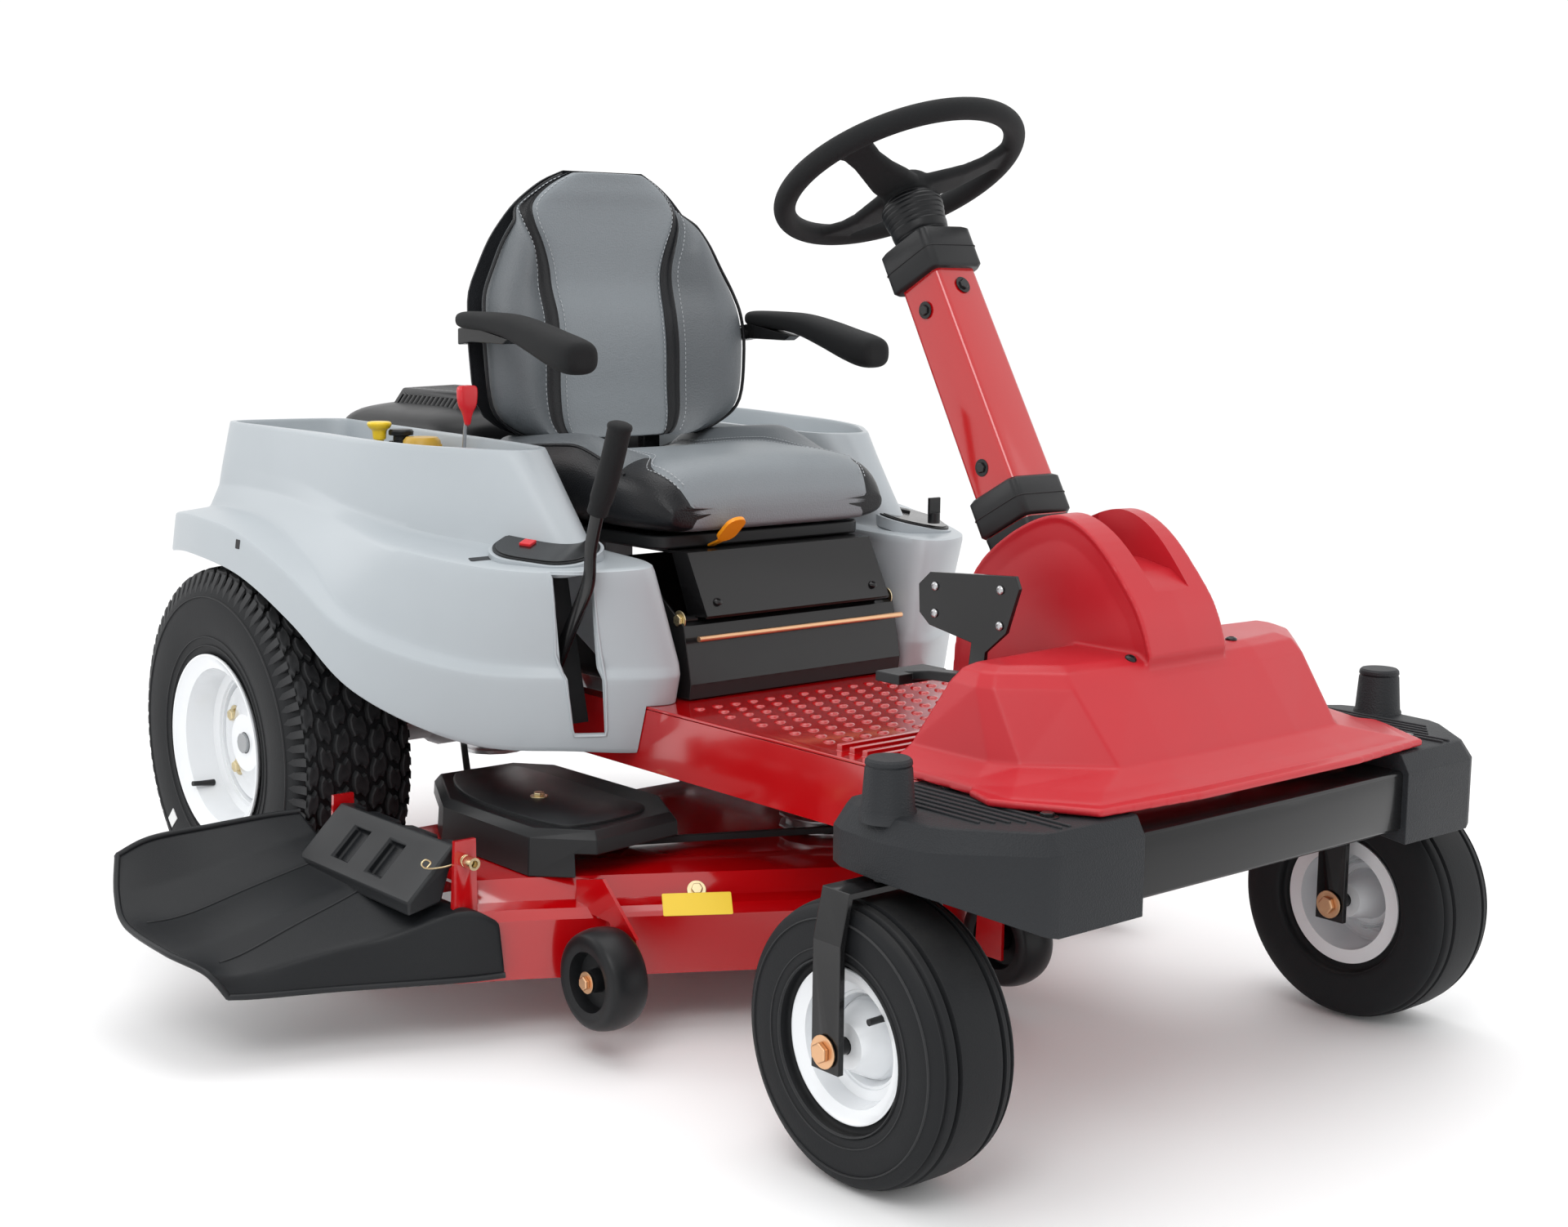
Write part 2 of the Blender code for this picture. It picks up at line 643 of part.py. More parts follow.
# Each character line of a fender runs once round it: along the rear, down the outer side, across the
# front of the tower and back along the inner side. The places are for the +X side.
FENDER_LINES = {
    "lip": [
        (0.255, 0.268, 0.575), (0.420, 0.270, 0.562), (0.555, 0.228, 0.560), (0.594, 0.100, 0.572),
        (0.599, -0.080, 0.556), (0.592, -0.235, 0.500), (0.562, -0.360, 0.415), (0.470, -0.495, 0.353),
        (0.367, -0.600, 0.345), (0.222, -0.655, 0.345), (0.210, -0.500, 0.430), (0.250, -0.200, 0.600),
        (0.250, 0.150, 0.600),
    ],
    "flange": [
        (0.255, 0.262, 0.612), (0.420, 0.264, 0.618), (0.550, 0.222, 0.622), (0.588, 0.095, 0.632),
        (0.592, -0.070, 0.620), (0.584, -0.215, 0.570), (0.560, -0.345, 0.500), (0.478, -0.500, 0.458),
        (0.372, -0.618, 0.452), (0.228, -0.690, 0.452), (0.214, -0.500, 0.468), (0.250, -0.200, 0.612),
        (0.250, 0.150, 0.612),
    ],
    "step": [
        (0.255, 0.238, 0.620), (0.410, 0.240, 0.626), (0.505, 0.200, 0.630), (0.525, 0.090, 0.640),
        (0.532, -0.060, 0.632), (0.545, -0.200, 0.588), (0.542, -0.330, 0.518), (0.468, -0.492, 0.474),
        (0.366, -0.612, 0.468), (0.229, -0.688, 0.468), (0.215, -0.500, 0.482), (0.250, -0.200, 0.622),
        (0.250, 0.150, 0.622),
    ],
    "shoulder": [
        (0.255, 0.232, 0.660), (0.405, 0.236, 0.660), (0.490, 0.198, 0.665), (0.503, 0.080, 0.672),
        (0.500, -0.070, 0.665), (0.498, -0.210, 0.645), (0.503, -0.370, 0.622), (0.447, -0.545, 0.606),
        (0.365, -0.650, 0.606), (0.262, -0.672, 0.610), (0.238, -0.500, 0.615), (0.250, -0.200, 0.640),
        (0.250, 0.150, 0.640),
    ],
    "wall": [
        (0.258, 0.228, 0.690), (0.400, 0.232, 0.690), (0.486, 0.195, 0.695), (0.495, 0.070, 0.700),
        (0.490, -0.080, 0.690), (0.478, -0.220, 0.660), (0.440, -0.345, 0.636), (0.385, -0.450, 0.622),
        (0.335, -0.560, 0.610), (0.290, -0.575, 0.610), (0.262, -0.480, 0.622), (0.253, -0.200, 0.650),
        (0.253, 0.150, 0.650),
    ],
    "rim": [
        (0.262, 0.222, 0.764), (0.388, 0.228, 0.766), (0.472, 0.190, 0.768), (0.480, 0.060, 0.768),
        (0.472, -0.080, 0.766), (0.460, -0.220, 0.763), (0.430, -0.335, 0.760), (0.375, -0.420, 0.758),
        (0.330, -0.490, 0.757), (0.285, -0.505, 0.757), (0.262, -0.450, 0.757), (0.258, -0.200, 0.760),
        (0.258, 0.130, 0.764),
    ],
}
FENDER_COLUMNS = 31
FENDER_WALL = 0.004
TUB_FLOOR = 0.700


def fender_shape():
    """The fender's skin: the character lines, then the rim turned over and down into the tub."""
    lines = [through(points, FENDER_COLUMNS, ring=True) for points in FENDER_LINES.values()]
    rim = np.array(lines[-1])
    middle = np.array((0.365, -0.12, 0.0))
    inward = middle - rim
    inward[:, 2] = 0
    inward /= np.linalg.norm(inward, axis=1)[:, None]
    turned_in = rim + inward * 0.016
    floor = rim + inward * 0.024
    floor[:, 2] = TUB_FLOOR
    lines += [[tuple(p) for p in turned_in], [tuple(p) for p in floor]]
    size = FENDER_COLUMNS
    points = [p for line in lines for p in line]
    faces = []
    for i in range(len(lines) - 1):
        for j in range(size):
            k = (j + 1) % size
            faces.append((i * size + j, (i + 1) * size + j, (i + 1) * size + k, i * size + k))
    faces.append(tuple(reversed([(len(lines) - 1) * size + j for j in range(size)])))
    return points, faces


def make_fender(side_name):
    side = SIDES[side_name]
    points, faces = fender_shape()
    if side < 0:
        faces = [tuple(reversed(f)) for f in faces]
    fender = add(f"fender_{side_name}", (mirrored(points, side), faces), "grey_plastic", closed=False)
    thicken(fender, FENDER_WALL)
    low, high = sorted((side * (RAIL_OUTER + 0.0015), side * 0.10))
    cutters = [box((low, -0.72, 0.30), (high, -0.40, RAIL_TOP + 0.0070))]
    if side_name == "right":
        slot = [(-0.397, 0.600), (-0.354, 0.600), (-0.318, 0.372), (-0.357, 0.372)]
        cutters.append(prism(slot, "y", -0.720, -0.560))
    cut(fender, cutters)


def panel_outline(side):
    points = [
        (0.285, -0.600), (0.290, -0.650), (0.352, -0.640), (0.402, -0.590), (0.405, -0.545), (0.385, -0.530),
        (0.345, -0.585),
    ]
    return [(side * x, y) for x, y in points]


def make_controls():
    for side_name, side in SIDES.items():
        low = 0.6175
        add(f"control_panel_{side_name}", prism(panel_outline(side), "z", low, low + 0.005), "black_plastic")
    barrel = spun([(0.6232, 0.010), (0.640, 0.010)], (0.340, -0.610, 0), "z", 12)
    key = add("ignition_key", barrel, "black_plastic", (0.340, -0.610, 0.631))
    combine(key, [box((0.328, -0.6125, 0.638), (0.352, -0.6075, 0.664))])
    knob = [
        (TUB_FLOOR + GAP, 0.006), (0.752, 0.006), (0.753, 0.011), (0.768, 0.012), (0.770, 0.018),
        (0.777, 0.018),
    ]
    add("pto_knob", spun(knob, (-0.355, -0.085, 0), "z", 16), "yellow_plastic", (-0.355, -0.085, TUB_FLOOR))
    x, y = THROTTLE_PIVOT
    lever = swept([(x, y, TUB_FLOOR + SWING_GAP), (x, y - 0.007, 0.770), (x, y - 0.015, 0.800)], 0.0035, 8)
    throttle = add("throttle_lever", lever, "red_knob", (x, y, TUB_FLOOR))
    grip = spun([(0.785, 0.006), (0.806, 0.010), (0.826, 0.015), (0.838, 0.012)], (x, y - 0.014, 0), "z", 12)
    combine(throttle, [grip])
    cap = [(TUB_FLOOR + GAP, 0.030), (0.745, 0.030), (0.757, 0.024)]
    add("fuel_cap", spun(cap, (-0.318, -0.150, 0), "z", 18), "orange_plastic", (-0.318, -0.150, TUB_FLOOR))


def make_lift_lever():
    """The deck lift lever: a steel strap that leaves the fender's slot, with a foam grip on top."""
    path = [
        (-0.360, -0.560, 0.440), (-0.364, -0.615, 0.520), (-0.368, -0.664, 0.590),
        (-0.366, -0.668, 0.640), (-0.360, -0.680, 0.700),
    ]
    lever = add("lift_lever", swept(path, 0.0075, 8), "black_paint", (-0.360, -0.560, 0.440))
    grip = swept([(-0.360, -0.676, 0.692), (-0.360, -0.702, 0.745), (-0.360, -0.728, 0.812)], 0.0135, 12)
    pivot = spun([(-0.362, 0.014), (-0.322, 0.014)], (0, -0.560, 0.440), "x", 14)
    combine(lever, [grip, pivot])


# ---------------------------------------------------------------- seat


def make_seat_base():
    """The black box under the seat, with its folded front panel."""
    profile = [
        (-0.6785, 0.4118), (-0.6820, 0.434), (-0.664, 0.516), (-0.600, 0.560), (-0.250, 0.560),
        (-0.250, 0.4118),
    ]
    base = add("seat_base", prism(profile, "x", -0.2035, 0.2035), "black_paint")
    hollow = [
        (-0.6745, 0.390), (-0.6780, 0.434), (-0.660, 0.506), (-0.640, 0.640), (-0.254, 0.640),
        (-0.254, 0.390),
    ]
    cut(base, [prism(hollow, "x", -0.1995, 0.1995)])


def make_seat_plate():
    """The tilting seat plate, bent down at the front, with an ear and a pivot pin on each side."""
    bent = [
        (-0.684, 0.530), (-0.637, 0.616), (-0.240, 0.616), (-0.240, 0.612), (-0.634, 0.612), (-0.681, 0.526),
    ]
    plate = add("seat_plate", prism(bent, "x", -0.176, 0.176), "black_paint", SEAT_PIVOT)
    ears = []
    for side in SIDES.values():
        low, high = sorted((side * 0.172, side * 0.176))
        ear = [(-0.683, 0.528), (-0.636, 0.614), (-0.600, 0.614), (-0.640, 0.526)]
        ears.append(prism(ear, "x", low, high))
        low, high = sorted((side * 0.172, side * 0.1985))
        ears.append(spun([(low, 0.006), (high, 0.006)], (0, SEAT_PIVOT[1], SEAT_PIVOT[2]), "x", 12))
    combine(plate, ears)


def make_seat():
    """The sliding seat: its pan, the cushion, the padded back and the shell behind it."""
    pan = rounded_outline(-0.200, 0.200, -0.600, -0.135, 0.03)
    add("seat_pan", prism(pan, "z", 0.6170, 0.6370), "black_plastic", (0, -0.40, 0.617))
    levels = (
        (0.6380, 0.195, -0.612, -0.175), (0.660, 0.220, -0.628, -0.160), (0.715, 0.232, -0.630, -0.158),
        (0.740, 0.218, -0.612, -0.170), (0.748, 0.180, -0.570, -0.215),
    )
    rings = []
    for z, half, front, rear in levels:
        rings.append([(x, y, z) for x, y in rounded_outline(-half, half, front, rear, 0.07, 4)])
    add("seat_cushion", loft(rings), "seat_vinyl", (0, -0.40, 0.638))
    levels = (
        (0.752, 0.165, -0.300, 0.060), (0.790, 0.205, -0.308, 0.078), (0.880, 0.218, -0.298, 0.084),
        (0.980, 0.214, -0.278, 0.080), (1.065, 0.204, -0.256, 0.072), (1.130, 0.168, -0.236, 0.056),
        (1.166, 0.116, -0.218, 0.030),
    )
    rings = []
    for z, half, front, depth in levels:
        outline = rounded_outline(-half, half, front, front + depth, min(0.45 * depth, 0.035), 3)
        rings.append([(x, y, z) for x, y in outline])
    add("seat_back", loft(rings), "seat_vinyl", (0, -0.26, 0.75))
    rings = []
    for z, half, front, depth in levels:
        near = front + depth + GAP
        outline = rounded_outline(-half - 0.020, half + 0.020, near, near + 0.036, 0.016, 3)
        rings.append([(x, y, z + (0.003 if z > 1.16 else 0)) for x, y in outline])
    shell = add("seat_shell", loft(rings), "charcoal_plastic", (0, -0.18, 0.75))
    bent = [
        (-0.1555, 0.6376), (-0.138, 0.6376), (-0.138, 0.770), (-0.185, 0.830), (-0.212, 0.830),
        (-0.212, 0.790), (-0.1555, 0.756),
    ]
    combine(shell, [prism(bent, "x", *sorted((side * 0.105, side * 0.140))) for side in SIDES.values()])


def make_armrests():
    """Padded armrests on brackets beside the back, each turning up about its rear end."""
    for side_name, side in SIDES.items():
        x = side * ARMREST_X
        rings = []
        for y, z, half, height in (
            (-0.200, 0.935, 0.020, 0.010), (-0.215, 0.935, 0.027, 0.016), (-0.330, 0.932, 0.029, 0.020),
            (-0.450, 0.914, 0.031, 0.024), (-0.515, 0.898, 0.032, 0.025), (-0.548, 0.888, 0.024, 0.015),
        ):
            outline = rounded_outline(-half, half, -height, height, height * 0.9, 2)
            rings.append([(x + a, y, z + b) for a, b in outline])
        pivot_y, pivot_z = ARMREST_PIVOT
        arm = add(f"armrest_{side_name}", loft(rings), "foam_rubber", (x, pivot_y, pivot_z - 0.012))
        low, high = sorted((side * 0.2405, side * 0.290))
        boss = spun([(low, 0.011), (high, 0.011)], (0, pivot_y, pivot_z - 0.012), "x", 10)
        combine(arm, [boss])


def make_seat_lever():
    """The tab under the cushion's front edge that frees the seat to slide."""
    tab = rounded_outline(-0.118, -0.090, -0.662, -0.608, 0.010)
    add("seat_lever", prism(tab, "z", 0.6175, 0.6215), "orange_plastic", (-0.104, -0.612, 0.620))


# ---------------------------------------------------------------- power unit


def make_engine():
    """A vertical-shaft twin on the engine plate: crankcase with two heads, shroud and drive drum."""
    block = box((-0.150, 0.000, RAIL_TOP + GAP), (0.150, 0.290, 0.560))
    engine = bevel(add("engine_block", block, "cast_aluminium"), 0.015)
    heads = [box((low, 0.040, 0.470), (high, 0.170, 0.585)) for low, high in ((-0.228, -0.140), (0.140, 0.228))]
    combine(engine, heads)
    drum = [
        (0.172, 0.058), (0.179, 0.058), (0.180, DRUM_RADIUS), (0.262, DRUM_RADIUS), (0.263, 0.058),
        (0.268, 0.058), (0.270, 0.0142), (0.4045, 0.0142),
    ]
    add("engine_drum", spun(drum, (*DRUM_CENTRE, 0), "z", 14), "steel", (*DRUM_CENTRE, 0.22))
    rings = []
    for z, half, front, rear, corner in (
        (0.5606, 0.215, -0.060, 0.330, 0.06), (0.700, 0.222, -0.075, 0.345, 0.07),
        (0.775, 0.205, -0.055, 0.325, 0.07), (0.812, 0.150, -0.010, 0.270, 0.06),
        (0.826, 0.110, 0.020, 0.230, 0.05),
    ):
        rings.append([(x, y, z) for x, y in rounded_outline(-half, half, front, rear, corner, 3)])
    cover = add("engine_cover", loft(rings), "black_plastic")
    windows = [box((low, 0.036, 0.540), (high, 0.174, 0.589)) for low, high in ((-0.233, -0.136), (0.136, 0.233))]
    cut(cover, windows)


def make_transaxle(side_name):
    """A hydrostatic drive on each side, with the axle shaft that carries the rear wheel."""
    side = SIDES[side_name]
    profile = [
        (0.075, 0.040), (0.085, 0.048), (0.205, 0.048), (0.225, 0.040), (0.232, 0.034), (0.440, 0.034),
        (REAR_TRACK - 0.0456, 0.026), (REAR_TRACK - 0.0455, 0.0160), (REAR_TRACK + 0.056, 0.0160),
    ]
    shape = spun([(side * a, r) for a, r in profile], (0, 0, REAR_RADIUS), "x", 12)
    body = add(f"transaxle_{side_name}", shape, "cast_aluminium", (0, 0, REAR_RADIUS))
    bracket = box((0.100, -0.030, 0.300), (0.200, 0.030, 0.3964))
    combine(body, [(mirrored(bracket[0], side), bracket[1])])


def make_rear_guard():
    """A bent bar round the back of the engine, standing on the frame rails."""
    corner = (0.225, 0.370)
    path = [(0.2395, 0.200, 0.4195), (0.2395, 0.330, 0.4195)]
    path += [(corner[0] + 0.012, corner[1] - 0.010, 0.426)]
    path += [(corner[0] - 0.014, 0.386, 0.436), (0.150, 0.388, 0.440)]
    path += [(-x, y, z) for x, y, z in reversed(path)]
    add("rear_guard", swept(path, 0.0135, 12), "black_paint")


# ---------------------------------------------------------------- cutting deck


def inset(outline, distance):
    """The outline drawn inwards by a distance, edge by edge. The outline runs anticlockwise."""
    drawn = []
    size = len(outline)
    for i in range(size):
        before = Vector(outline[i]) - Vector(outline[i - 1])
        after = Vector(outline[(i + 1) % size]) - Vector(outline[i])
        a = Vector((-before.y, before.x)).normalized()
        b = Vector((-after.y, after.x)).normalized()
        corner = Vector(outline[i]) + (a + b) * (distance / (1 + a.dot(b)))
        drawn.append((corner.x, corner.y))
    return drawn


DECK_FRONT = [(0.120, -0.975), (0.252, -0.898), (0.525, -0.735), (0.600, -0.700), (DECK_HALF, -0.660)]
DECK_OUTLINE = (
    DECK_FRONT + [(DECK_HALF, -0.360), (0.600, -0.315), (-0.600, -0.315), (-DECK_HALF, -0.360)]
    + [(-x, y) for x, y in reversed(DECK_FRONT)]
)


def deck_rings(wall):
    """Rings of the deck: an upright skirt, a step and the raised top."""
    rings = []
    steps = ((0.0, DECK_BOTTOM), (0.0, 0.162), (0.012, 0.174), (0.038, 0.178), (0.055, DECK_TOP))
    for inward, height in steps:
        z = height - (wall if height > DECK_BOTTOM else 0.03 * (wall > 0))
        rings.append([(x, y, z) for x, y in inset(DECK_OUTLINE, inward + wall)])
    return rings


def scalp_bracket(x, wheel_y, rear_y):
    plate = [
        (rear_y, 0.168), (rear_y, 0.206), (rear_y - 0.060, 0.220), (wheel_y - 0.025, 0.155),
        (wheel_y - 0.025, SCALP_AXLE - 0.020), (wheel_y + 0.025, SCALP_AXLE - 0.020), (wheel_y + 0.022, 0.150),
        (rear_y - 0.075, 0.165),
    ]
    return prism(plate, "x", x - 0.0025, x + 0.0025)


def make_deck():
    """The pressed deck shell, with its scalp wheel brackets, chute lugs and open discharge side."""
    deck = add("deck_shell", loft(deck_rings(0)), "red_paint")
    brackets = []
    bolts = []
    for x, y in SCALP_WHEELS.values():
        outward = -1 if x < 0 else 1
        plate = x - outward * 0.036
        rear = y + (0.110 if abs(x) > 0.2 else 0.130)
        brackets.append(scalp_bracket(plate, y, rear))
        low, high = sorted((plate - outward * 0.001, x + outward * 0.034))
        bolts.append(spun([(low, 0.006), (high, 0.006)], (0, y, SCALP_AXLE), "x", 10))
    cut(deck, [loft(deck_rings(0.004))])
    cut(deck, [box((-0.70, -0.690, 0.05), (-0.575, -0.380, 0.30))])
    pivot_x, pivot_z = CHUTE_PIVOT
    lugs = [
        prism([(-0.612, 0.140), (-0.572, 0.140), (-0.574, 0.275), (-0.606, 0.275)], "y", low, low + 0.006)
        for low in (-0.700, -0.378)
    ]
    combine(deck, brackets + bolts + lugs)
    bore = [(DECK_TOP - 0.02, 0.026), (DECK_TOP + 0.02, 0.026)]
    bores = [spun(bore, (x, y, 0), "z", 18) for x, y in SPINDLES.values()]
    bores.append(spun([(-0.73, 0.0046), (-0.35, 0.0046)], (pivot_x, 0, pivot_z), "y", 10))
    cut(deck, bores)


def make_spindle(name):
    """A blade spindle: the shaft, the belt pulley above the deck and the blade below it."""
    x, y = SPINDLES[name]
    profile = [
        (0.094, 0.020), (0.112, 0.020), (0.114, 0.0225), (0.2130, 0.0225), (0.2131, 0.070), (0.2160, 0.070),
        (0.2170, PULLEY_RADIUS), (0.2290, PULLEY_RADIUS), (0.2300, 0.070), (0.2330, 0.070),
        (0.2331, 0.016), (0.246, 0.014),
    ]
    spindle = add(f"spindle_{name}", spun(profile, (x, y, 0), "z", 12), "steel", (x, y, 0.16))
    blade = []
    for reach in (-1, 1):
        edge, heel = y + reach * BLADE_EDGE, y - reach * BLADE_HEEL
        sail = [(edge, BLADE_LOW), (edge, BLADE_HIGH), (heel, BLADE_HIGH), (heel, BLADE_LOW)]
        low, high = sorted((x, x + reach * BLADE_RADIUS))
        blade.append(prism(sail, "x", low, high))
    combine(spindle, blade)


def belt_line(width):
    """The belt's run round the drum and the three pulleys, as a closed outline."""
    stops = [(DRUM_CENTRE, DRUM_RADIUS), (SPINDLES["right"], PULLEY_RADIUS)]
    stops += [(SPINDLES["centre"], PULLEY_RADIUS), (SPINDLES["left"], PULLEY_RADIUS)]
    touches = []
    for i, (centre, radius) in enumerate(stops):
        following, next_radius = stops[(i + 1) % len(stops)]
        run = Vector(following) - Vector(centre)
        sine = (radius - next_radius) / run.length
        along = run.normalized()
        outward = Vector((along.y, -along.x))
        turn = along * sine + outward * math.sqrt(1 - sine * sine)
        touches.append(math.atan2(turn.y, turn.x))
    line = []
    for i, (centre, radius) in enumerate(stops):
        start, end = touches[i - 1], touches[i]
        sweep = (end - start) % (2 * math.pi)
        steps = max(2, round(sweep / 0.5))
        for k in range(steps + 1):
            t = start + sweep * k / steps
            reach = (radius + 0.0006 + width) / math.cos(sweep / steps / 2)
            line.append((centre[0] + reach * math.cos(t), centre[1] + reach * math.sin(t)))
    return line


def make_belt():
    rings = []
    for (x, y), (u, v) in zip(belt_line(0.0), belt_line(0.010)):
        rings.append([(x, y, 0.2185), (u, v, 0.2185), (u, v, 0.2275), (x, y, 0.2275)])
    add("drive_belt", loft(rings, joined=True), "tyre_rubber")


def make_belt_cover(side_name):
    side = SIDES[side_name]
    outline = [
        (0.266, -0.738), (0.420, -0.758), (0.486, -0.690), (0.486, -0.470), (0.410, -0.320),
        (0.270, -0.322), (0.222, -0.380), (0.216, -0.640),
    ]
    outside = ((0, 0.2056), (0.003, 0.258), (0.012, 0.270))
    rings = [[(x, y, z) for x, y in inset(outline, d)] for d, z in outside]
    cover = add(f"belt_cover_{side_name}", (mirrored(loft(rings)[0], side), loft(rings)[1]), "black_plastic")
    inside = ((0.0035, 0.190), (0.0065, 0.257), (0.0145, 0.2665))
    rings = [[(x, y, z) for x, y in inset(outline, d)] for d, z in inside]
    hollow = loft(rings)
    openings = [
        box((0.20, -0.480, 0.19), (0.450, -0.25, 0.238)), box((0.20, -0.800, 0.19), (0.440, -0.560, 0.238)),
    ]
    cut(cover, [(mirrored(points, side), faces) for points, faces in [hollow] + openings])


def make_scalp_wheel(name):
    x, y = SCALP_WHEELS[name]
    half = 0.029
    profile = [
        (-half, 0.0068), (-half, 0.018), (-half + 0.006, 0.050), (-half + 0.006, 0.058),
        (-half + 0.012, SCALP_RADIUS), (half - 0.012, SCALP_RADIUS), (half - 0.006, 0.058),
        (half - 0.006, 0.050), (half, 0.018), (half, 0.0068),
    ]
    centre = (x, y, SCALP_AXLE)
    axle = make_empty(f"scalp_axis_{name}", centre, parent=machine)
    add(f"scalp_wheel_{name}", turned(profile, (0, 0, 0), "x", 14), "black_plastic", parent=axle)


def make_chute():
    """The hinged discharge deflector: a folded sheet under a hinge box, on a rod along the deck's side."""
    rows = [
        [
            (-0.625, -0.697, 0.092), (-0.680, -0.679, 0.092), (-0.760, -0.645, 0.093),
            (-0.857, -0.618, 0.097), (-0.897, -0.608, 0.099),
        ],
        [
            (-0.625, -0.680, 0.163), (-0.680, -0.664, 0.155), (-0.760, -0.636, 0.141),
            (-0.857, -0.604, 0.124), (-0.921, -0.600, 0.146),
        ],
        [
            (-0.625, -0.530, 0.200), (-0.680, -0.530, 0.187), (-0.760, -0.530, 0.170),
            (-0.857, -0.530, 0.149), (-0.930, -0.530, 0.147),
        ],
        [
            (-0.625, -0.415, 0.204), (-0.680, -0.415, 0.191), (-0.760, -0.415, 0.174),
            (-0.857, -0.415, 0.153), (-0.930, -0.415, 0.153),
        ],
        [
            (-0.625, -0.360, 0.222), (-0.680, -0.360, 0.214), (-0.760, -0.360, 0.202),
            (-0.857, -0.360, 0.186), (-0.930, -0.360, 0.180),
        ],
        [
            (-0.630, -0.322, 0.245), (-0.680, -0.314, 0.244), (-0.760, -0.310, 0.241),
            (-0.850, -0.310, 0.238), (-0.888, -0.310, 0.235),
        ],
    ]
    columns = len(rows[0])
    points = [p for row in rows for p in row]
    points += [(x, y, z - 0.006) if i else (x, y + 0.006, z) for i, row in enumerate(rows) for x, y, z in row]
    size = len(rows) * columns
    faces = []
    for i in range(len(rows) - 1):
        for j in range(columns - 1):
            a = i * columns + j
            faces.append((a, a + 1, a + 1 + columns, a + columns))
            faces.append((size + a, size + a + columns, size + a + 1 + columns, size + a + 1))
    around = [j for j in range(columns)] + [i * columns + columns - 1 for i in range(1, len(rows))]
    around += [size - 2 - j for j in range(columns - 1)] + [i * columns for i in range(len(rows) - 2, 0, -1)]
    for a, b in zip(around, around[1:] + around[:1]):
        faces.append((a, size + a, size + b, b))
    pivot_x, pivot_z = CHUTE_PIVOT
    chute = add("chute", (points, faces), "black_plastic", (pivot_x, 0, pivot_z))
    hinge = [
        (-0.576, 0.236), (-0.576, 0.262), (-0.600, 0.266), (-0.668, 0.200), (-0.668, 0.182), (-0.618, 0.192),
        (-0.604, 0.236),
    ]
    flange = [
        (-0.555, -0.733), (-0.555, -0.727), (-0.612, -0.701), (-0.680, -0.6655), (-0.680, -0.679),
        (-0.625, -0.707),
    ]
    combine(chute, [prism(hinge, "y", -0.685, -0.386), prism(flange, "z", 0.0925, 0.158)])
    cut(chute, [spun([(-0.73, 0.0046), (-0.35, 0.0046)], (pivot_x, 0, pivot_z), "y", 10)])
    rod = spun([(-0.712, 0.0040), (-0.362, 0.0040)], (pivot_x, 0, pivot_z), "y", 10)
    add("chute_rod", rod, "zinc", (pivot_x, -0.53, pivot_z))


def make_fuel_tank():
    rings = []
    for z, grow in ((0.585, -0.012), (0.600, 0.0), (0.678, 0.0), (0.690, -0.010)):
        outline = rounded_outline(-0.440 - grow, -0.285 + grow, -0.180 - grow, 0.150 + grow, 0.030)
        rings.append([(x, y, z) for x, y in outline])
    add("fuel_tank", loft(rings), "black_plastic")


clear_scene()
X_OFFSET = (CHUTE_REACH - DECK_HALF) / 2
Y_OFFSET = -(FRONT_END + REAR_END) / 2
machine = make_empty("machine", (X_OFFSET, Y_OFFSET, 0))
column = make_empty("steering_column", WHEEL_CENTRE, (-COLUMN_TILT, 0, 0), machine)
make_wheels()
for name in SIDES:
    make_fork(name)
    make_bumper_cap(name)
    make_fender(name)
    make_transaxle(name)
    make_belt_cover(name)
make_frame()
make_front_beam()
make_hood()
make_foot_pan()
make_pedals()
make_column()
make_steering_wheel()
make_controls()
make_lift_lever()
make_seat_base()
make_seat_plate()
make_seat()
make_seat_lever()
make_armrests()
make_engine()
make_rear_guard()
make_fuel_tank()
make_deck()
for name in SPINDLES:
    make_spindle(name)
for name in SCALP_WHEELS:
    make_scalp_wheel(name)
make_belt()
make_chute()
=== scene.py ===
"""The looks of the steering-wheel zero turn mower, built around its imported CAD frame.

Shapes are laid out in the machine's own frame: the rear axle on x = 0, y = 0, the ground at z = 0,
the front along -Y and the rider's left at +X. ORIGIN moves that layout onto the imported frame.
"""

import math

import bmesh
import bpy
import numpy as np
from mathutils import Matrix, Vector


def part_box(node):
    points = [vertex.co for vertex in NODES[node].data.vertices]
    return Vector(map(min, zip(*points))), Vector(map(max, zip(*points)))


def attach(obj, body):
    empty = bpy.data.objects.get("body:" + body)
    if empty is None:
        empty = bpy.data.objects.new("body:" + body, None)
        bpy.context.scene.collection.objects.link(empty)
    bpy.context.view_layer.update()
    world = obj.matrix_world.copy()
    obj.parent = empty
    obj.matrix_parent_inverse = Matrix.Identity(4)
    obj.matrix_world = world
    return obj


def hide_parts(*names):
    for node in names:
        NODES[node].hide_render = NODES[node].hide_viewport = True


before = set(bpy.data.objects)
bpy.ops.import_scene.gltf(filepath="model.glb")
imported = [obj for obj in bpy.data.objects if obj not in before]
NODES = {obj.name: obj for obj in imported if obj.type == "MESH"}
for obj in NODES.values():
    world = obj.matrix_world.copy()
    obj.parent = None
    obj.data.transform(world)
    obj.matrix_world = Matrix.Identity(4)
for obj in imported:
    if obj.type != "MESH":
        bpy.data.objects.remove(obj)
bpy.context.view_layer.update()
SIDES = {"right": -1, "left": 1}


def middle(node):
    low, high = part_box(node)
    return (low + high) / 2


ORIGIN = Vector((middle("seat_base").x, middle("rear_tyre_right").y, 0.0))


# ---------------------------------------------------------------- shapes: (points, faces)


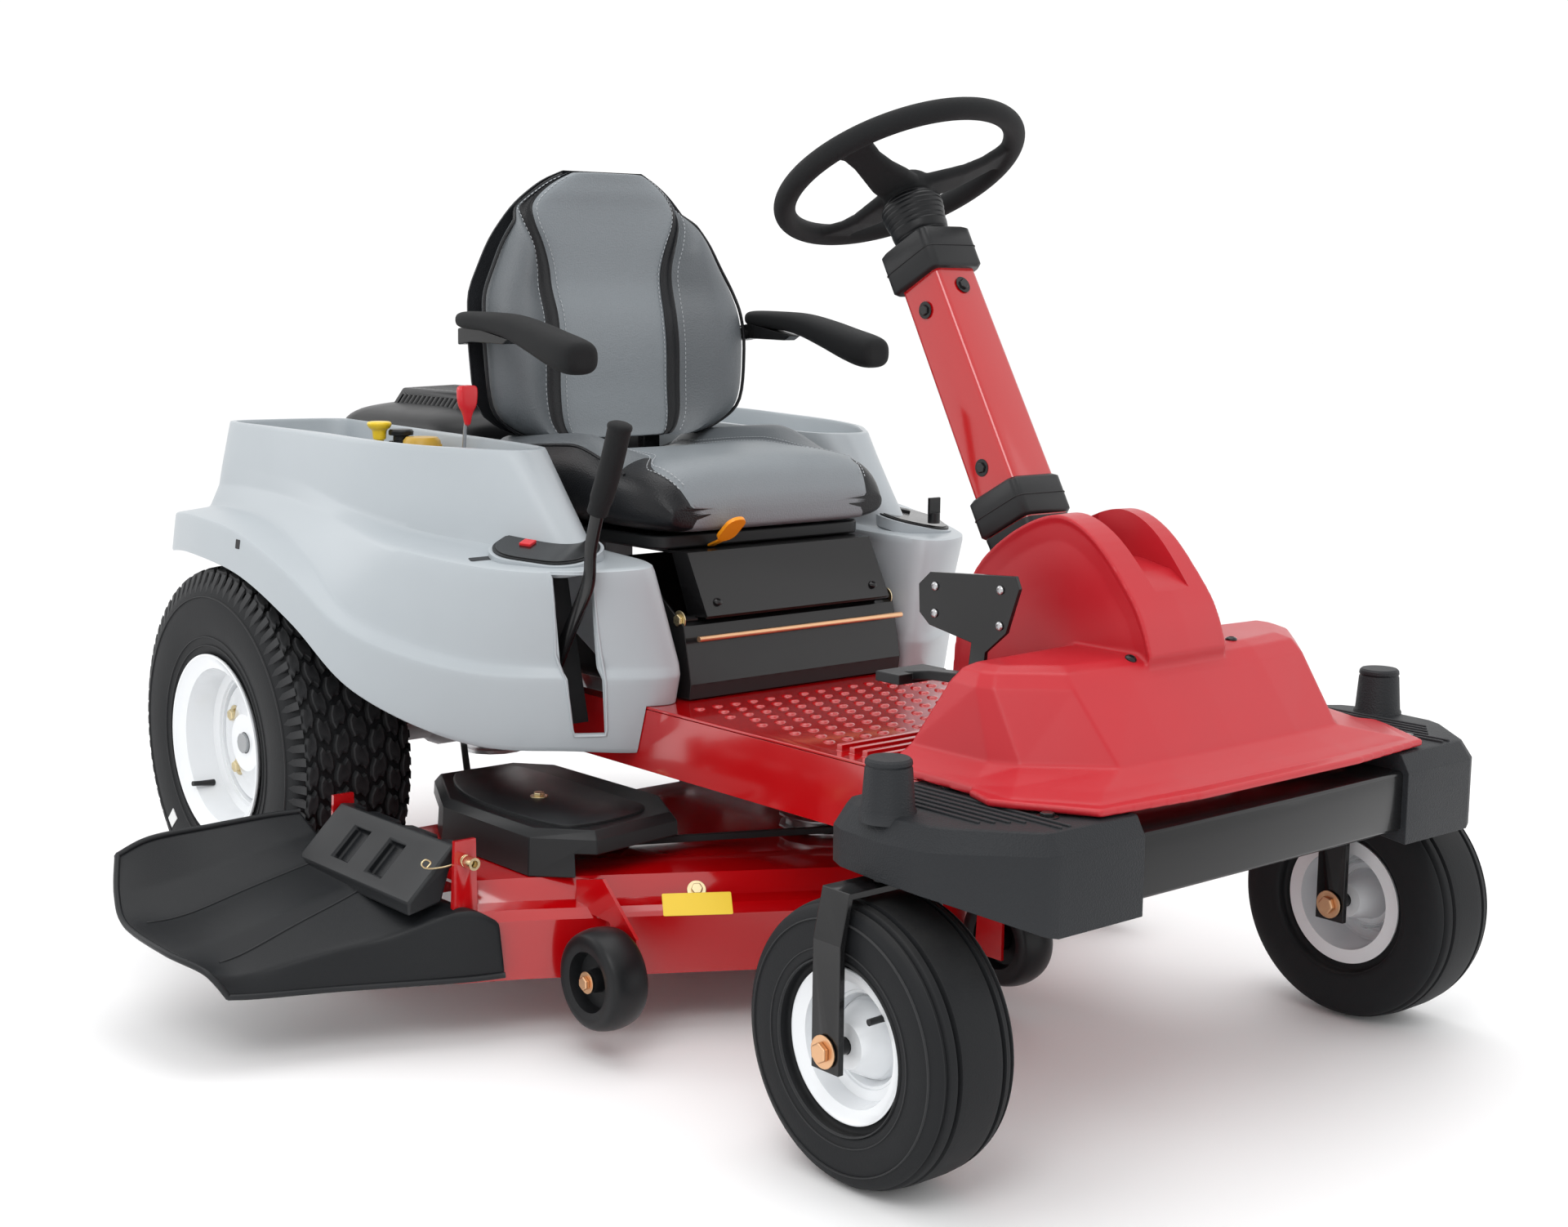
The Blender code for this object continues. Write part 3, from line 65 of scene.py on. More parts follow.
def merge(*shapes):
    points, faces = [], []
    for more_points, more_faces in shapes:
        start = len(points)
        points += [tuple(p) for p in more_points]
        faces += [tuple(start + i for i in face) for face in more_faces]
    return points, faces


def loft(rings, joined=False, capped=True):
    """A skin over rings of equal length, capped at both ends or joined end to end."""
    size = len(rings[0])
    points = [tuple(p) for ring in rings for p in ring]
    faces = []
    for i in range(len(rings) if joined else len(rings) - 1):
        low, high = i * size, ((i + 1) % len(rings)) * size
        for j in range(size):
            k = (j + 1) % size
            faces.append((low + j, low + k, high + k, high + j))
    if capped and not joined:
        faces.append(tuple(range(size)))
        faces.append(tuple((len(rings) - 1) * size + j for j in range(size)))
    return points, faces


def sheet(rows):
    """An open skin over rows of equal length."""
    size = len(rows[0])
    points = [tuple(p) for row in rows for p in row]
    faces = [
        (i * size + j, i * size + j + 1, (i + 1) * size + j + 1, (i + 1) * size + j)
        for i in range(len(rows) - 1) for j in range(size - 1)
    ]
    return points, faces


def prism(outline, axis, low, high):
    """An outline of (a, b) pairs extruded along an axis. The pairs are the other two axes in order."""
    def place(a, b, c):
        return {"x": (c, a, b), "y": (a, c, b), "z": (a, b, c)}[axis]

    return loft([[place(a, b, c) for a, b in outline] for c in (low, high)])


def box(low, high):
    outline = [(low[0], low[1]), (high[0], low[1]), (high[0], high[1]), (low[0], high[1])]
    return prism(outline, "z", low[2], high[2])


def circle(centre, radius, sides):
    turns = [2 * math.pi * i / sides for i in range(sides)]
    return [(centre[0] + radius * math.cos(t), centre[1] + radius * math.sin(t)) for t in turns]


def around(axis, along, p, q):
    return {"x": (along, p, q), "y": (p, along, q), "z": (p, q, along)}[axis]


def turned(profile, centre, axis, sides):
    """A closed (along, radius) section turned about an axis."""
    rings = []
    for i in range(sides):
        t = 2 * math.pi * i / sides
        rings.append([
            tuple(c + o for c, o in zip(centre, around(axis, a, r * math.cos(t), r * math.sin(t))))
            for a, r in profile
        ])
    return loft(rings, joined=True)


def spun(profile, centre, axis, sides):
    """A solid with capped ends, from (along, radius) pairs in order along the axis."""
    rings = []
    for along, radius in profile:
        rings.append([
            tuple(c + o for c, o in zip(centre, around(axis, along, p, q)))
            for p, q in circle((0, 0), radius, sides)
        ])
    return loft(rings)


def swept(path, radius, sides, closed=False):
    """A round bar along a path. The radius is one number, or one for each point of the path."""
    path = [Vector(p) for p in path]
    radii = radius if isinstance(radius, (list, tuple)) else [radius] * len(path)
    rings = []
    side = None
    for i, point in enumerate(path):
        if closed:
            ahead = (path[(i + 1) % len(path)] - path[i - 1]).normalized()
        else:
            ahead = (path[min(i + 1, len(path) - 1)] - path[max(i - 1, 0)]).normalized()
        if side is None:
            side = ahead.orthogonal().normalized()
        side = (side - ahead * side.dot(ahead)).normalized()
        up = ahead.cross(side)
        rings.append([point + side * a + up * b for a, b in circle((0, 0), radii[i], sides)])
    return loft(rings, joined=closed)


def rounded(x_low, x_high, y_low, y_high, radius, steps=4):
    outline = []
    centres = (
        (x_high - radius, y_high - radius, 0), (x_low + radius, y_high - radius, 1),
        (x_low + radius, y_low + radius, 2), (x_high - radius, y_low + radius, 3),
    )
    for cx, cy, quarter in centres:
        for i in range(steps + 1):
            t = (quarter + i / steps) * math.pi / 2
            outline.append((cx + radius * math.cos(t), cy + radius * math.sin(t)))
    return outline


def through(points, count, ring=False):
    """A smooth Catmull-Rom line through the points, as count points spread over the spans."""
    points = np.array(points, float)
    size = len(points)
    spans = size if ring else size - 1
    line = []
    for i in range(count):
        place = i * spans / (count if ring else count - 1)
        k = min(int(place), spans - 1)
        t = place - k
        index = [k - 1, k, k + 1, k + 2]
        index = [j % size if ring else min(max(j, 0), size - 1) for j in index]
        a, b, c, d = points[index]
        value = 2 * b + (c - a) * t + (2 * a - 5 * b + 4 * c - d) * t**2 + (3 * b - a - 3 * c + d) * t**3
        line.append(tuple(float(v) for v in 0.5 * value))
    return line


def inset(outline, distance):
    """An anticlockwise outline drawn inwards, edge by edge."""
    drawn = []
    for i, corner in enumerate(outline):
        before = Vector(corner) - Vector(outline[i - 1])
        after = Vector(outline[(i + 1) % len(outline)]) - Vector(corner)
        a = Vector((-before.y, before.x)).normalized()
        b = Vector((-after.y, after.x)).normalized()
        moved = Vector(corner) + (a + b) * (distance / (1 + a.dot(b)))
        drawn.append((moved.x, moved.y))
    return drawn


def flip(shape, side):
    """The shape on the other side of the machine, when side is -1."""
    points, faces = shape
    return [(side * p[0], p[1], p[2]) for p in points], faces


def moved(shape, matrix):
    return [tuple(matrix @ Vector(p)) for p in shape[0]], shape[1]


def tilt(degrees, axis):
    return Matrix.Rotation(math.radians(degrees), 4, axis)


def facing(direction, at, roll=0.0):
    """A matrix that takes +Z to a direction and the origin to a point."""
    turn = Vector((0, 0, 1)).rotation_difference(Vector(direction)).to_matrix().to_4x4()
    return Matrix.Translation(Vector(at)) @ turn @ Matrix.Rotation(roll, 4, "Z")


# ---------------------------------------------------------------- materials


def node(tree, kind, **values):
    made = tree.nodes.new(kind)
    for name, value in values.items():
        if hasattr(made, name) and name not in made.inputs:
            setattr(made, name, value)
        else:
            made.inputs[name].default_value = value
    return made


CLOUD_SIZE = 14.0  # noise scale of the mottling and of the uneven gloss
GLOSS_SPREAD = 0.06  # how far the roughness strays either way
DUST_TINT = (0.30, 0.28, 0.25, 1)


def mixed(tree, amount, low, high):
    """A colour between low, which is a colour or an output, and the colour high."""
    tint = node(tree, "ShaderNodeMix", data_type="RGBA")
    tint.inputs[7].default_value = high
    tree.links.new(amount, tint.inputs[0])
    if isinstance(low, tuple):
        tint.inputs[6].default_value = low
    else:
        tree.links.new(low, tint.inputs[6])
    return tint.outputs[2]


def finish(
    name, color, rough, metal=0.0, coat=0.0, grain=0.0, grain_size=700.0, mottle=0.06, wear=0.0, dust=0.0,
    cells=False, sheen=0.0, shine=0.5,
):
    """A procedural finish: mottled colour, uneven gloss, a fine grain, worn edges and settled dust."""
    made = bpy.data.materials.new(name)
    made.use_nodes = True
    tree = made.node_tree
    link = tree.links.new
    shader = tree.nodes["Principled BSDF"]
    shader.inputs["Metallic"].default_value = metal
    shader.inputs["Coat Weight"].default_value = coat
    shader.inputs["Coat Roughness"].default_value = 0.08
    shader.inputs["Sheen Weight"].default_value = sheen
    shader.inputs["Specular IOR Level"].default_value = shine
    place = node(tree, "ShaderNodeTexCoord")
    cloud = node(tree, "ShaderNodeTexNoise", Scale=CLOUD_SIZE, Detail=5.0, Roughness=0.6)
    link(place.outputs["Object"], cloud.inputs["Vector"])
    low = [max(c * (1 - mottle), 0) for c in color]
    high = [min(c * (1 + mottle), 1) for c in color]
    shade = mixed(tree, cloud.outputs["Fac"], (*low, 1), (*high, 1))
    if dust:
        up = node(tree, "ShaderNodeNewGeometry")
        split = node(tree, "ShaderNodeSeparateXYZ")
        link(up.outputs["Normal"], split.inputs[0])
        patch = node(tree, "ShaderNodeMath", operation="MULTIPLY")
        link(split.outputs["Z"], patch.inputs[0])
        link(cloud.outputs["Fac"], patch.inputs[1])
        amount = node(tree, "ShaderNodeMapRange")
        amount.inputs["From Min"].default_value = 0.25
        amount.inputs["From Max"].default_value = 0.75
        amount.inputs["To Max"].default_value = dust
        link(patch.outputs[0], amount.inputs["Value"])
        shade = mixed(tree, amount.outputs[0], shade, DUST_TINT)
    if wear:
        edge = node(tree, "ShaderNodeNewGeometry")
        ramp = node(tree, "ShaderNodeMapRange")
        ramp.inputs["From Min"].default_value = 0.53
        ramp.inputs["From Max"].default_value = 0.62
        ramp.inputs["To Max"].default_value = wear
        link(edge.outputs["Pointiness"], ramp.inputs["Value"])
        shade = mixed(tree, ramp.outputs[0], shade, (*[min(1, c * 1.5 + 0.05) for c in color], 1))
    link(shade, shader.inputs["Base Color"])
    gloss = node(tree, "ShaderNodeMapRange")
    gloss.inputs["To Min"].default_value = max(rough - GLOSS_SPREAD, 0.03)
    gloss.inputs["To Max"].default_value = min(rough + GLOSS_SPREAD, 1)
    link(cloud.outputs["Fac"], gloss.inputs["Value"])
    link(gloss.outputs[0], shader.inputs["Roughness"])
    if grain:
        if cells:
            fine = node(tree, "ShaderNodeTexVoronoi", Scale=grain_size)
            height = fine.outputs["Distance"]
        else:
            fine = node(tree, "ShaderNodeTexNoise", Scale=grain_size, Detail=3.0)
            height = fine.outputs["Fac"]
        link(place.outputs["Object"], fine.inputs["Vector"])
        bump = node(tree, "ShaderNodeBump", Strength=grain, Distance=0.0006)
        link(height, bump.inputs["Height"])
        link(bump.outputs["Normal"], shader.inputs["Normal"])
    return made


RED_PAINT = finish("red_paint", (0.42, 0.0010, 0.003), 0.14, coat=0.8, grain=0.08, grain_size=120,
                   mottle=0.04, wear=0.08)
RED_MOULDED = finish("red_moulded", (0.44, 0.012, 0.020), 0.34, grain=0.20, grain_size=1800, mottle=0.05,
                     wear=0.15, shine=0.4)
GREY_MOULDED = finish("grey_moulded", (0.39, 0.425, 0.450), 0.34, grain=0.12, grain_size=1600, mottle=0.025,
                      wear=0.2)
CHARCOAL = finish("charcoal_moulded", (0.017, 0.0185, 0.021), 0.50, grain=0.75, grain_size=520, cells=True,
                  wear=0.3, shine=0.22)
BLACK_MOULDED = finish("black_moulded", (0.007, 0.0075, 0.0085), 0.36, grain=0.25, grain_size=1300,
                       wear=0.25, shine=0.28)
BLACK_CHUTE = finish("chute_plastic", (0.0095, 0.0105, 0.012), 0.38, grain=0.30, grain_size=900,
                     mottle=0.12, wear=0.4, shine=0.22)
BLACK_PAINT = finish("black_paint", (0.0055, 0.0055, 0.006), 0.24, coat=0.25, grain=0.15, grain_size=260,
                     wear=0.25, shine=0.22)
TYRE = finish("tyre_rubber", (0.0085, 0.0092, 0.0105), 0.60, grain=0.35, grain_size=420, mottle=0.18,
              wear=0.5, dust=0.05, shine=0.22)
WHITE_PAINT = finish("white_paint", (0.80, 0.82, 0.84), 0.20, coat=0.5, grain=0.06, grain_size=150,
                     mottle=0.02)
FOAM = finish("foam_grip", (0.0075, 0.0080, 0.0088), 0.72, grain=0.55, grain_size=1100, cells=True,
              sheen=0.02, shine=0.22)
VINYL_GREY = finish("vinyl_grey", (0.185, 0.206, 0.222), 0.42, grain=0.55, grain_size=420, cells=True,
                    mottle=0.05)
VINYL_DARK = finish("vinyl_dark", (0.108, 0.120, 0.130), 0.44, grain=0.60, grain_size=420, cells=True,
                    mottle=0.07)
VINYL_BLACK = finish("vinyl_black", (0.008, 0.0085, 0.010), 0.34, grain=0.50, grain_size=480, cells=True,
                     shine=0.28)
THREAD = finish("seam_thread", (0.42, 0.44, 0.46), 0.7, grain=0.3, grain_size=2500, mottle=0.15)
YELLOW = finish("yellow_plastic", (0.80, 0.55, 0.02), 0.33, grain=0.12, grain_size=1500, wear=0.2)
ORANGE = finish("orange_plastic", (0.90, 0.30, 0.006), 0.32, grain=0.12, grain_size=1500, wear=0.2)
MUSTARD = finish("mustard_plastic", (0.50, 0.30, 0.03), 0.40, grain=0.15, grain_size=1500, wear=0.2)
RED_KNOB = finish("red_knob", (0.62, 0.012, 0.02), 0.28, grain=0.10, grain_size=1500, wear=0.2)
ALUMINIUM = finish("cast_aluminium", (0.40, 0.41, 0.42), 0.48, metal=1.0, grain=0.5, grain_size=520,
                   mottle=0.12)
STEEL = finish("steel", (0.50, 0.50, 0.51), 0.32, metal=1.0, grain=0.15, grain_size=900, mottle=0.12)
ZINC = finish("yellow_zinc", (0.72, 0.60, 0.36), 0.28, metal=1.0, grain=0.15, grain_size=900, mottle=0.18)
COPPER = finish("bronzed_bolt", (0.70, 0.42, 0.24), 0.33, metal=1.0, grain=0.15, grain_size=900,
                mottle=0.15)
LABEL = finish("yellow_label", (0.86, 0.60, 0.03), 0.35, grain=0.05, grain_size=2000)
PALE_LABEL = finish("pale_label", (0.72, 0.73, 0.72), 0.45, grain=0.05, grain_size=2000)
# Near-black: the dark seam lines of the collars, and painted shade for the fender's square hole
DARK_SEAM_AND_SHADE = finish("dark_seam_and_painted_shade", (0.006, 0.006, 0.007), 0.6, grain=0.2, grain_size=600)


# ---------------------------------------------------------------- pieces


SHARP_EDGE = 38  # degrees between the faces of a carried-over CAD shape that get a rounded edge


def mesh_of(name, points, faces):
    """A mesh whose faces all look outwards."""
    mesh = bpy.data.meshes.new(name)
    mesh.from_pydata(points, [], faces)
    edit = bmesh.new()
    edit.from_mesh(mesh)
    bmesh.ops.recalc_face_normals(edit, faces=edit.faces[:])
    edit.to_mesh(mesh)
    edit.free()
    return mesh


def placed(name, data):
    obj = bpy.data.objects.new(name, data)
    bpy.context.scene.collection.objects.link(obj)
    return obj


def shaded(mesh, degrees):
    mesh.shade_smooth()
    mesh.set_sharp_from_angle(angle=math.radians(degrees))


def bevelled(obj, width, segments, degrees):
    step = obj.modifiers.new("edges", "BEVEL")
    step.width = width
    step.segments = segments
    step.limit_method = "ANGLE"
    step.angle_limit = math.radians(degrees)
    step.harden_normals = True


def subdivided(obj, levels):
    step = obj.modifiers.new("smooth", "SUBSURF")
    step.levels = levels
    step.render_levels = levels


def piece(
    name, shape, material, body, replaces=(), sharp=35, edges=0.0, smooth=0, wall=0.0,
    at=None, segments=2,
):
    """A visible piece in the machine's layout. at places a shape that is drawn about its own centre."""
    mesh = mesh_of(name, [Vector(p) for p in shape[0]], shape[1])
    obj = placed(name, mesh)
    obj.matrix_world = Matrix.Translation(ORIGIN) @ (at or Matrix.Identity(4))
    for one in material if isinstance(material, list) else [material]:
        mesh.materials.append(one)
    shaded(mesh, sharp)
    if wall:
        step = obj.modifiers.new("wall", "SOLIDIFY")
        step.thickness = wall
        step.offset = -1
    if edges:
        bevelled(obj, edges, segments, 28)
    if smooth:
        subdivided(obj, smooth)
    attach(obj, body)
    if replaces:
        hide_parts(*replaces)
    return obj


def carve(obj, shapes):
    """Cuts shapes from a piece, and applies the cuts."""
    for points, faces in shapes:
        cutter = placed("cutter", mesh_of("cutter", [Vector(p) + ORIGIN for p in points], faces))
        step = obj.modifiers.new("cut", "BOOLEAN")
        step.operation = "DIFFERENCE"
        step.solver = "EXACT"
        step.object = cutter
        settle(obj)
        bpy.data.objects.remove(cutter)


def settle(obj):
    """Applies the piece's modifiers to its mesh."""
    graph = bpy.context.evaluated_depsgraph_get()
    graph.update()
    mesh = bpy.data.meshes.new_from_object(obj.evaluated_get(graph))
    obj.modifiers.clear()
    obj.data = mesh
    shaded(mesh, 35)


def hex_bolt(radius, height):
    """A six-sided bolt head on z = 0, with a washer under it and a chamfer on top."""
    seat, flare = radius * 0.22, radius * 1.55
    washer = spun([(0.0, flare), (seat, flare)], (0, 0, 0), "z", 24)
    head = spun([(seat, radius), (height * 0.85, radius), (height, radius * 0.86)], (0, 0, 0), "z", 6)
    return merge(washer, head)


def cap_screw(radius, height):
    """A domed screw head with a recessed drive."""
    dome = [(0.0, radius), (height * 0.45, radius * 0.96), (height * 0.85, radius * 0.72),
            (height, radius * 0.45)]
    ring = [(height, radius * 0.45), (height * 0.55, radius * 0.40)]
    return merge(spun(dome + ring, (0, 0, 0), "z", 18))


def bolts(name, places, material, body, radius=0.008, height=0.006, kind=hex_bolt):
    """One piece that holds a set of bolt heads, each at a point with an outward direction."""
    head = kind(radius, height)
    shapes = [moved(head, facing(direction, at, 0.4 * i)) for i, (at, direction) in enumerate(places)]
    return piece(name, merge(*shapes), material, body, edges=radius * 0.08, segments=1)


def refined(name, material, body, edges=0.0015):
    """A piece with a CAD node's own shape, its flat faces joined and its edges rounded."""
    mesh = NODES[name].data.copy()
    mesh.materials.clear()
    mesh.materials.append(material)
    edit = bmesh.new()
    edit.from_mesh(mesh)
    bmesh.ops.remove_doubles(edit, verts=edit.verts[:], dist=2e-5)
    bmesh.ops.dissolve_limit(edit, angle_limit=math.radians(1.5), verts=edit.verts[:], edges=edit.edges[:])
    bmesh.ops.recalc_face_normals(edit, faces=edit.faces[:])
    edit.to_mesh(mesh)
    edit.free()
    obj = placed(f"{name}_shape", mesh)
    shaded(mesh, SHARP_EDGE)
    if edges:
        bevelled(obj, edges, 2, SHARP_EDGE)
    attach(obj, body)
    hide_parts(name)
    return obj


def melted(obj):
    """Joins a piece's overlapping solids into one skin with soft fillets between them."""
    step = obj.modifiers.new("join", "REMESH")
    step.mode = "VOXEL"
    step.voxel_size = 0.0024
    step.use_smooth_shade = True
    step = obj.modifiers.new("soften", "SMOOTH")
    step.factor = 0.5
    step.iterations = 3


def onto(obj, points, direction):
    """Points of the layout moved along a direction until they lie on a piece's surface."""
    graph = bpy.context.evaluated_depsgraph_get()
    graph.update()
    surface = obj.evaluated_get(graph)
    into = surface.matrix_world.inverted()
    turn = into.to_3x3()
    out = surface.matrix_world
    landed = []
    ray = Vector(direction).normalized()
    for point in points:
        start = Vector(point) + ORIGIN
        hit, place, normal, _ = surface.ray_cast(into @ start, turn @ ray)
        if hit:
            world = out @ place
            landed.append((tuple(world - ORIGIN), tuple((out.to_3x3() @ normal).normalized())))
    return landed


def bead(name, path, radius, material, body, closed=False):
    return piece(name, swept(path, radius, 8, closed), material, body, sharp=60)


def face_up(obj, above=0.0):
    """Turns an open skin's faces over, if those above a height look down."""
    total = sum(face.area * face.normal.z for face in obj.data.polygons if face.center.z > above)
    if total < 0:
        obj.data.flip_normals()


STITCH_LENGTH, STITCH_GAP, STITCH_RADIUS = 0.0045, 0.003, 0.0007


def stitches(path):
    """A row of short thread stitches along a path."""
    thread = [STITCH_RADIUS * 0.7, STITCH_RADIUS, STITCH_RADIUS * 0.7]
    shapes = []
    spent = 0.0
    for a, b in zip(path, path[1:]):
        a, b = Vector(a), Vector(b)
        run = b - a
        while spent < run.length:
            start = a + run.normalized() * spent
            end = start + run.normalized() * STITCH_LENGTH
            shapes.append(swept([start, start.lerp(end, 0.5), end], thread, 5))
            spent += STITCH_LENGTH + STITCH_GAP
        spent -= run.length
    return merge(*shapes)


# ---------------------------------------------------------------- wheels

REAR = {"radius": 0.2794, "width": 0.208, "rim": 0.1443, "rim_width": 0.208, "track": 0.504, "y": 0.0}
FRONT = {"radius": 0.1651, "width": 0.127, "rim": 0.0892, "rim_width": 0.104, "track": 0.461, "y": -1.356}

SCALP_WHEELS = {"right": (-0.478, -0.853), "centre": (0.066, -1.053), "left": (0.478, -0.853)}
SCALP_AXLE = 0.104


def tyre_section(size, drop, grooves=()):
    """The (along, radius) section of a tyre, from one bead over the crown to the other and back inside."""
    half, bead_half = size["width"] / 2, size["rim_width"] / 2
    rim, radius = size["rim"], size["radius"]
    high = radius - rim
    outer = [
        (0.86 * bead_half, rim * 0.905), (0.90 * bead_half, rim * 0.97), (0.935 * bead_half, rim + 0.008),
        (0.96 * half, rim + 0.16 * high), (0.992 * half, rim + 0.38 * high),
        (0.985 * half, rim + 0.60 * high), (0.930 * half, rim + 0.80 * high - drop * 0.4),
        (0.840 * half, rim + 0.91 * high - drop), (0.640 * half, rim + 0.972 * high - drop),
        (0.330 * half, radius - drop),
    ]
    curve = through(outer, 90)
    right = curve + [(-a, r) for a, r in reversed(curve)]
    lined = []
    for a, r in right:
        for place, width, depth in grooves:
            off = abs(abs(a) - place)
            if off < width and r > rim + 0.7 * high:
                r -= depth * min(1, 2.4 * (1 - off / width))
        lined.append((a, r))
    inner = [(-0.80 * bead_half, rim * 0.905), (-0.80 * half, rim + 0.6 * high), (0.0, radius - 0.02),
             (0.80 * half, rim + 0.6 * high), (0.80 * bead_half, rim * 0.905)]
    return lined + inner


def crown(size, across):
    """The (along, radius) place on the tread face, for across from -1 to 1."""
    half = size["width"] / 2
    high = size["radius"] - size["rim"]
    along = 0.90 * half * math.sin(across * 1.30) / math.sin(1.30)
    drop = high * (0.020 * across**2 + 0.115 * across**6)
    return along, size["radius"] - drop


def tread_block(size, across, turn, wide, long, depth, skew):
    """One block of tread with a wavy outline, chamfered on top."""
    outline = [
        (-1.0, -0.42), (-0.55, -1.0), (0.10, -0.72), (0.62, -1.0), (1.0, -0.38),
        (1.0, 0.42), (0.55, 1.0), (-0.10, 0.72), (-0.62, 1.0), (-1.0, 0.38),
    ]
    rings = []
    for sink, grow in ((depth, 1.06), (0.0014, 1.0), (0.0, 0.86)):
        ring = []
        for u, v in outline:
            s = max(-1.0, min(1.0, across + wide * grow * u))
            along, radius = crown(size, s)
            t = turn + long * grow * (v + skew * u)
            ring.append((along, (radius - sink) * math.cos(t), (radius - sink) * math.sin(t)))
        rings.append(ring)
    return loft(rings)


def rear_tread(size):
    """Staggered rows of blocks round the crown, and a ring of lugs on each shoulder."""
    blocks = []
    rows, count = 7, 40
    pitch = 2 * math.pi / count
    for row in range(rows):
        across = -0.72 + 1.44 * row / (rows - 1)
        for k in range(count):
            turn = pitch * (k + 0.5 * (row % 2))
            skew = 0.30 if row % 2 else -0.30
            blocks.append(tread_block(size, across, turn, 0.098, pitch * 0.40, 0.009, skew))
    for edge in (-1, 1):
        for k in range(count * 2):
            turn = math.pi * k / count
            rings = []
            for sink, grow in ((0.007, 1.0), (0.0, 0.86)):
                ring = []
                for u, v in ((0.86, -0.32), (1.10, -0.26), (1.22, 0.10), (1.10, 0.34), (0.86, 0.32)):
                    along, radius = crown(size, min(u, 1.0))
                    over = max(u - 1.0, 0.0)
                    along += over * 0.030
                    radius -= over * 0.100 + sink
                    t = turn + pitch * 0.5 * grow * v
                    ring.append((edge * along, radius * math.cos(t), radius * math.sin(t)))
                rings.append(ring)
            blocks.append(loft(rings))
    return merge(*blocks)


def sidewall_rings(size, side, radii):
    """Fine raised rings moulded into the outer sidewall."""
    section = tyre_section(size, 0.0)
    width = 0.0012
    rings = []
    for radius in radii:
        along = max(a for a, r in section if abs(r - radius) < 0.006)
        low, high = side * (along - 0.002), side * (along + 0.0012)
        profile = [(low, radius - width), (high, radius - width * 0.4), (high, radius + width * 0.4),
                   (low, radius + width)]
        rings.append(turned(profile, (0, 0, 0), "x", 96))
    return merge(*rings)


def rim_section(size, dish, hub, hub_out):
    half = size["rim_width"] / 2
    rim = size["rim"]
    seat = rim * 0.885
    return [
        (-0.96 * half, seat - 0.010), (-0.96 * half, rim * 0.985), (-0.905 * half, rim * 0.985),
        (-0.860 * half, seat), (0.860 * half, seat), (0.925 * half, rim * 0.985),
        (0.965 * half, rim * 1.004), (0.990 * half, rim * 1.003), (0.993 * half, rim * 0.985),
        (0.965 * half, rim * 0.965), (0.905 * half, seat + 0.001), (0.875 * half, seat - 0.006),
        (0.60 * half, seat - 0.009), (0.45 * half, seat - 0.011), (0.40 * half, seat - 0.022),
        (0.10 * half, seat - 0.030), (dish + 0.006, seat - 0.034), (dish + 0.004, hub * 1.9),
        (hub_out * 0.92, hub * 1.22), (hub_out, hub * 1.12), (hub_out, hub * 0.42),
        (-hub_out * 0.9, hub * 0.42), (-hub_out * 0.9, hub), (dish - 0.006, hub * 1.5),
        (dish - 0.004, seat - 0.036), (0.05 * half, seat - 0.034), (0.36 * half, seat - 0.026),
        (0.36 * half, seat - 0.012), (0.3 * half, seat - 0.010),
    ]


def wheel(kind, side_name, size, hub, dish, hub_out, nuts, grooves):
    side = SIDES[side_name]
    body = f"{kind}_wheel_{side_name}"
    at = Matrix.Translation((side * size["track"], size["y"], size["radius"]))
    drop = 0.009 if kind == "rear" else 0.0
    carcass = turned([(side * a, r) for a, r in tyre_section(size, drop, grooves)], (0, 0, 0), "x", 128)
    piece(f"{kind}_tyre_carcass_{side_name}", carcass, TYRE, body, (f"{kind}_tyre_{side_name}",),
          sharp=40, at=at)
    if kind == "rear":
        piece(f"rear_tread_{side_name}", rear_tread(size), TYRE, body, sharp=25, at=at)
    high = size["radius"] - size["rim"]
    radii = [size["rim"] + high * part
             for part in ((0.10, 0.20, 0.66) if kind == "rear" else (0.14, 0.30, 0.72))]
    piece(f"{kind}_sidewall_rings_{side_name}", sidewall_rings(size, side, radii), TYRE, body,
          sharp=60, at=at)
    section = [(side * a, r) for a, r in rim_section(size, dish, hub, hub_out)]
    piece(f"{kind}_rim_shape_{side_name}", turned(section, (0, 0, 0), "x", 96), WHITE_PAINT, body,
          (f"{kind}_rim_{side_name}",), sharp=32, at=at)
    places = []
    for k in range(nuts):
        t = 2 * math.pi * (k + 0.4) / nuts
        ring = hub * 1.75
        places.append(((side * (dish + 0.0045), ring * math.cos(t), ring * math.sin(t)), (side, 0, 0)))
    if places:
        head = [moved(hex_bolt(0.0095, 0.011), facing(d, p)) for p, d in places]
        piece(f"{kind}_lug_nuts_{side_name}", merge(*head), ZINC, body, edges=0.0008, at=at)
    if kind == "rear":
        corners = ((0.196, -0.70, 0.0), (0.196, -0.80, 0.0), (0.224, -0.79, 0.0006), (0.224, -0.71, 0.0006))
        patch = loft([
            [(side * (along - lean), r * math.cos(t), r * math.sin(t)) for r, t, lean in corners]
            for along in (0.1030, 0.1045)
        ])
        piece(f"tyre_sticker_{side_name}", patch, PALE_LABEL, body, at=at)
    stem_turn = math.radians(-42 if kind == "rear" else 140)
    ring = size["rim"] * 0.80
    reach = size["rim_width"] * 0.36
    stem = [
        (side * (reach - 0.012), ring * math.cos(stem_turn), ring * math.sin(stem_turn)),
        (side * (reach + 0.012), ring * 0.97 * math.cos(stem_turn), ring * 0.97 * math.sin(stem_turn)),
        (side * (reach + 0.026), ring * 0.95 * math.cos(stem_turn), ring * 0.95 * math.sin(stem_turn)),
    ]
    piece(f"{kind}_valve_stem_{side_name}", swept(stem, [0.0052, 0.0040, 0.0040], 12), BLACK_MOULDED, body,
          at=at)


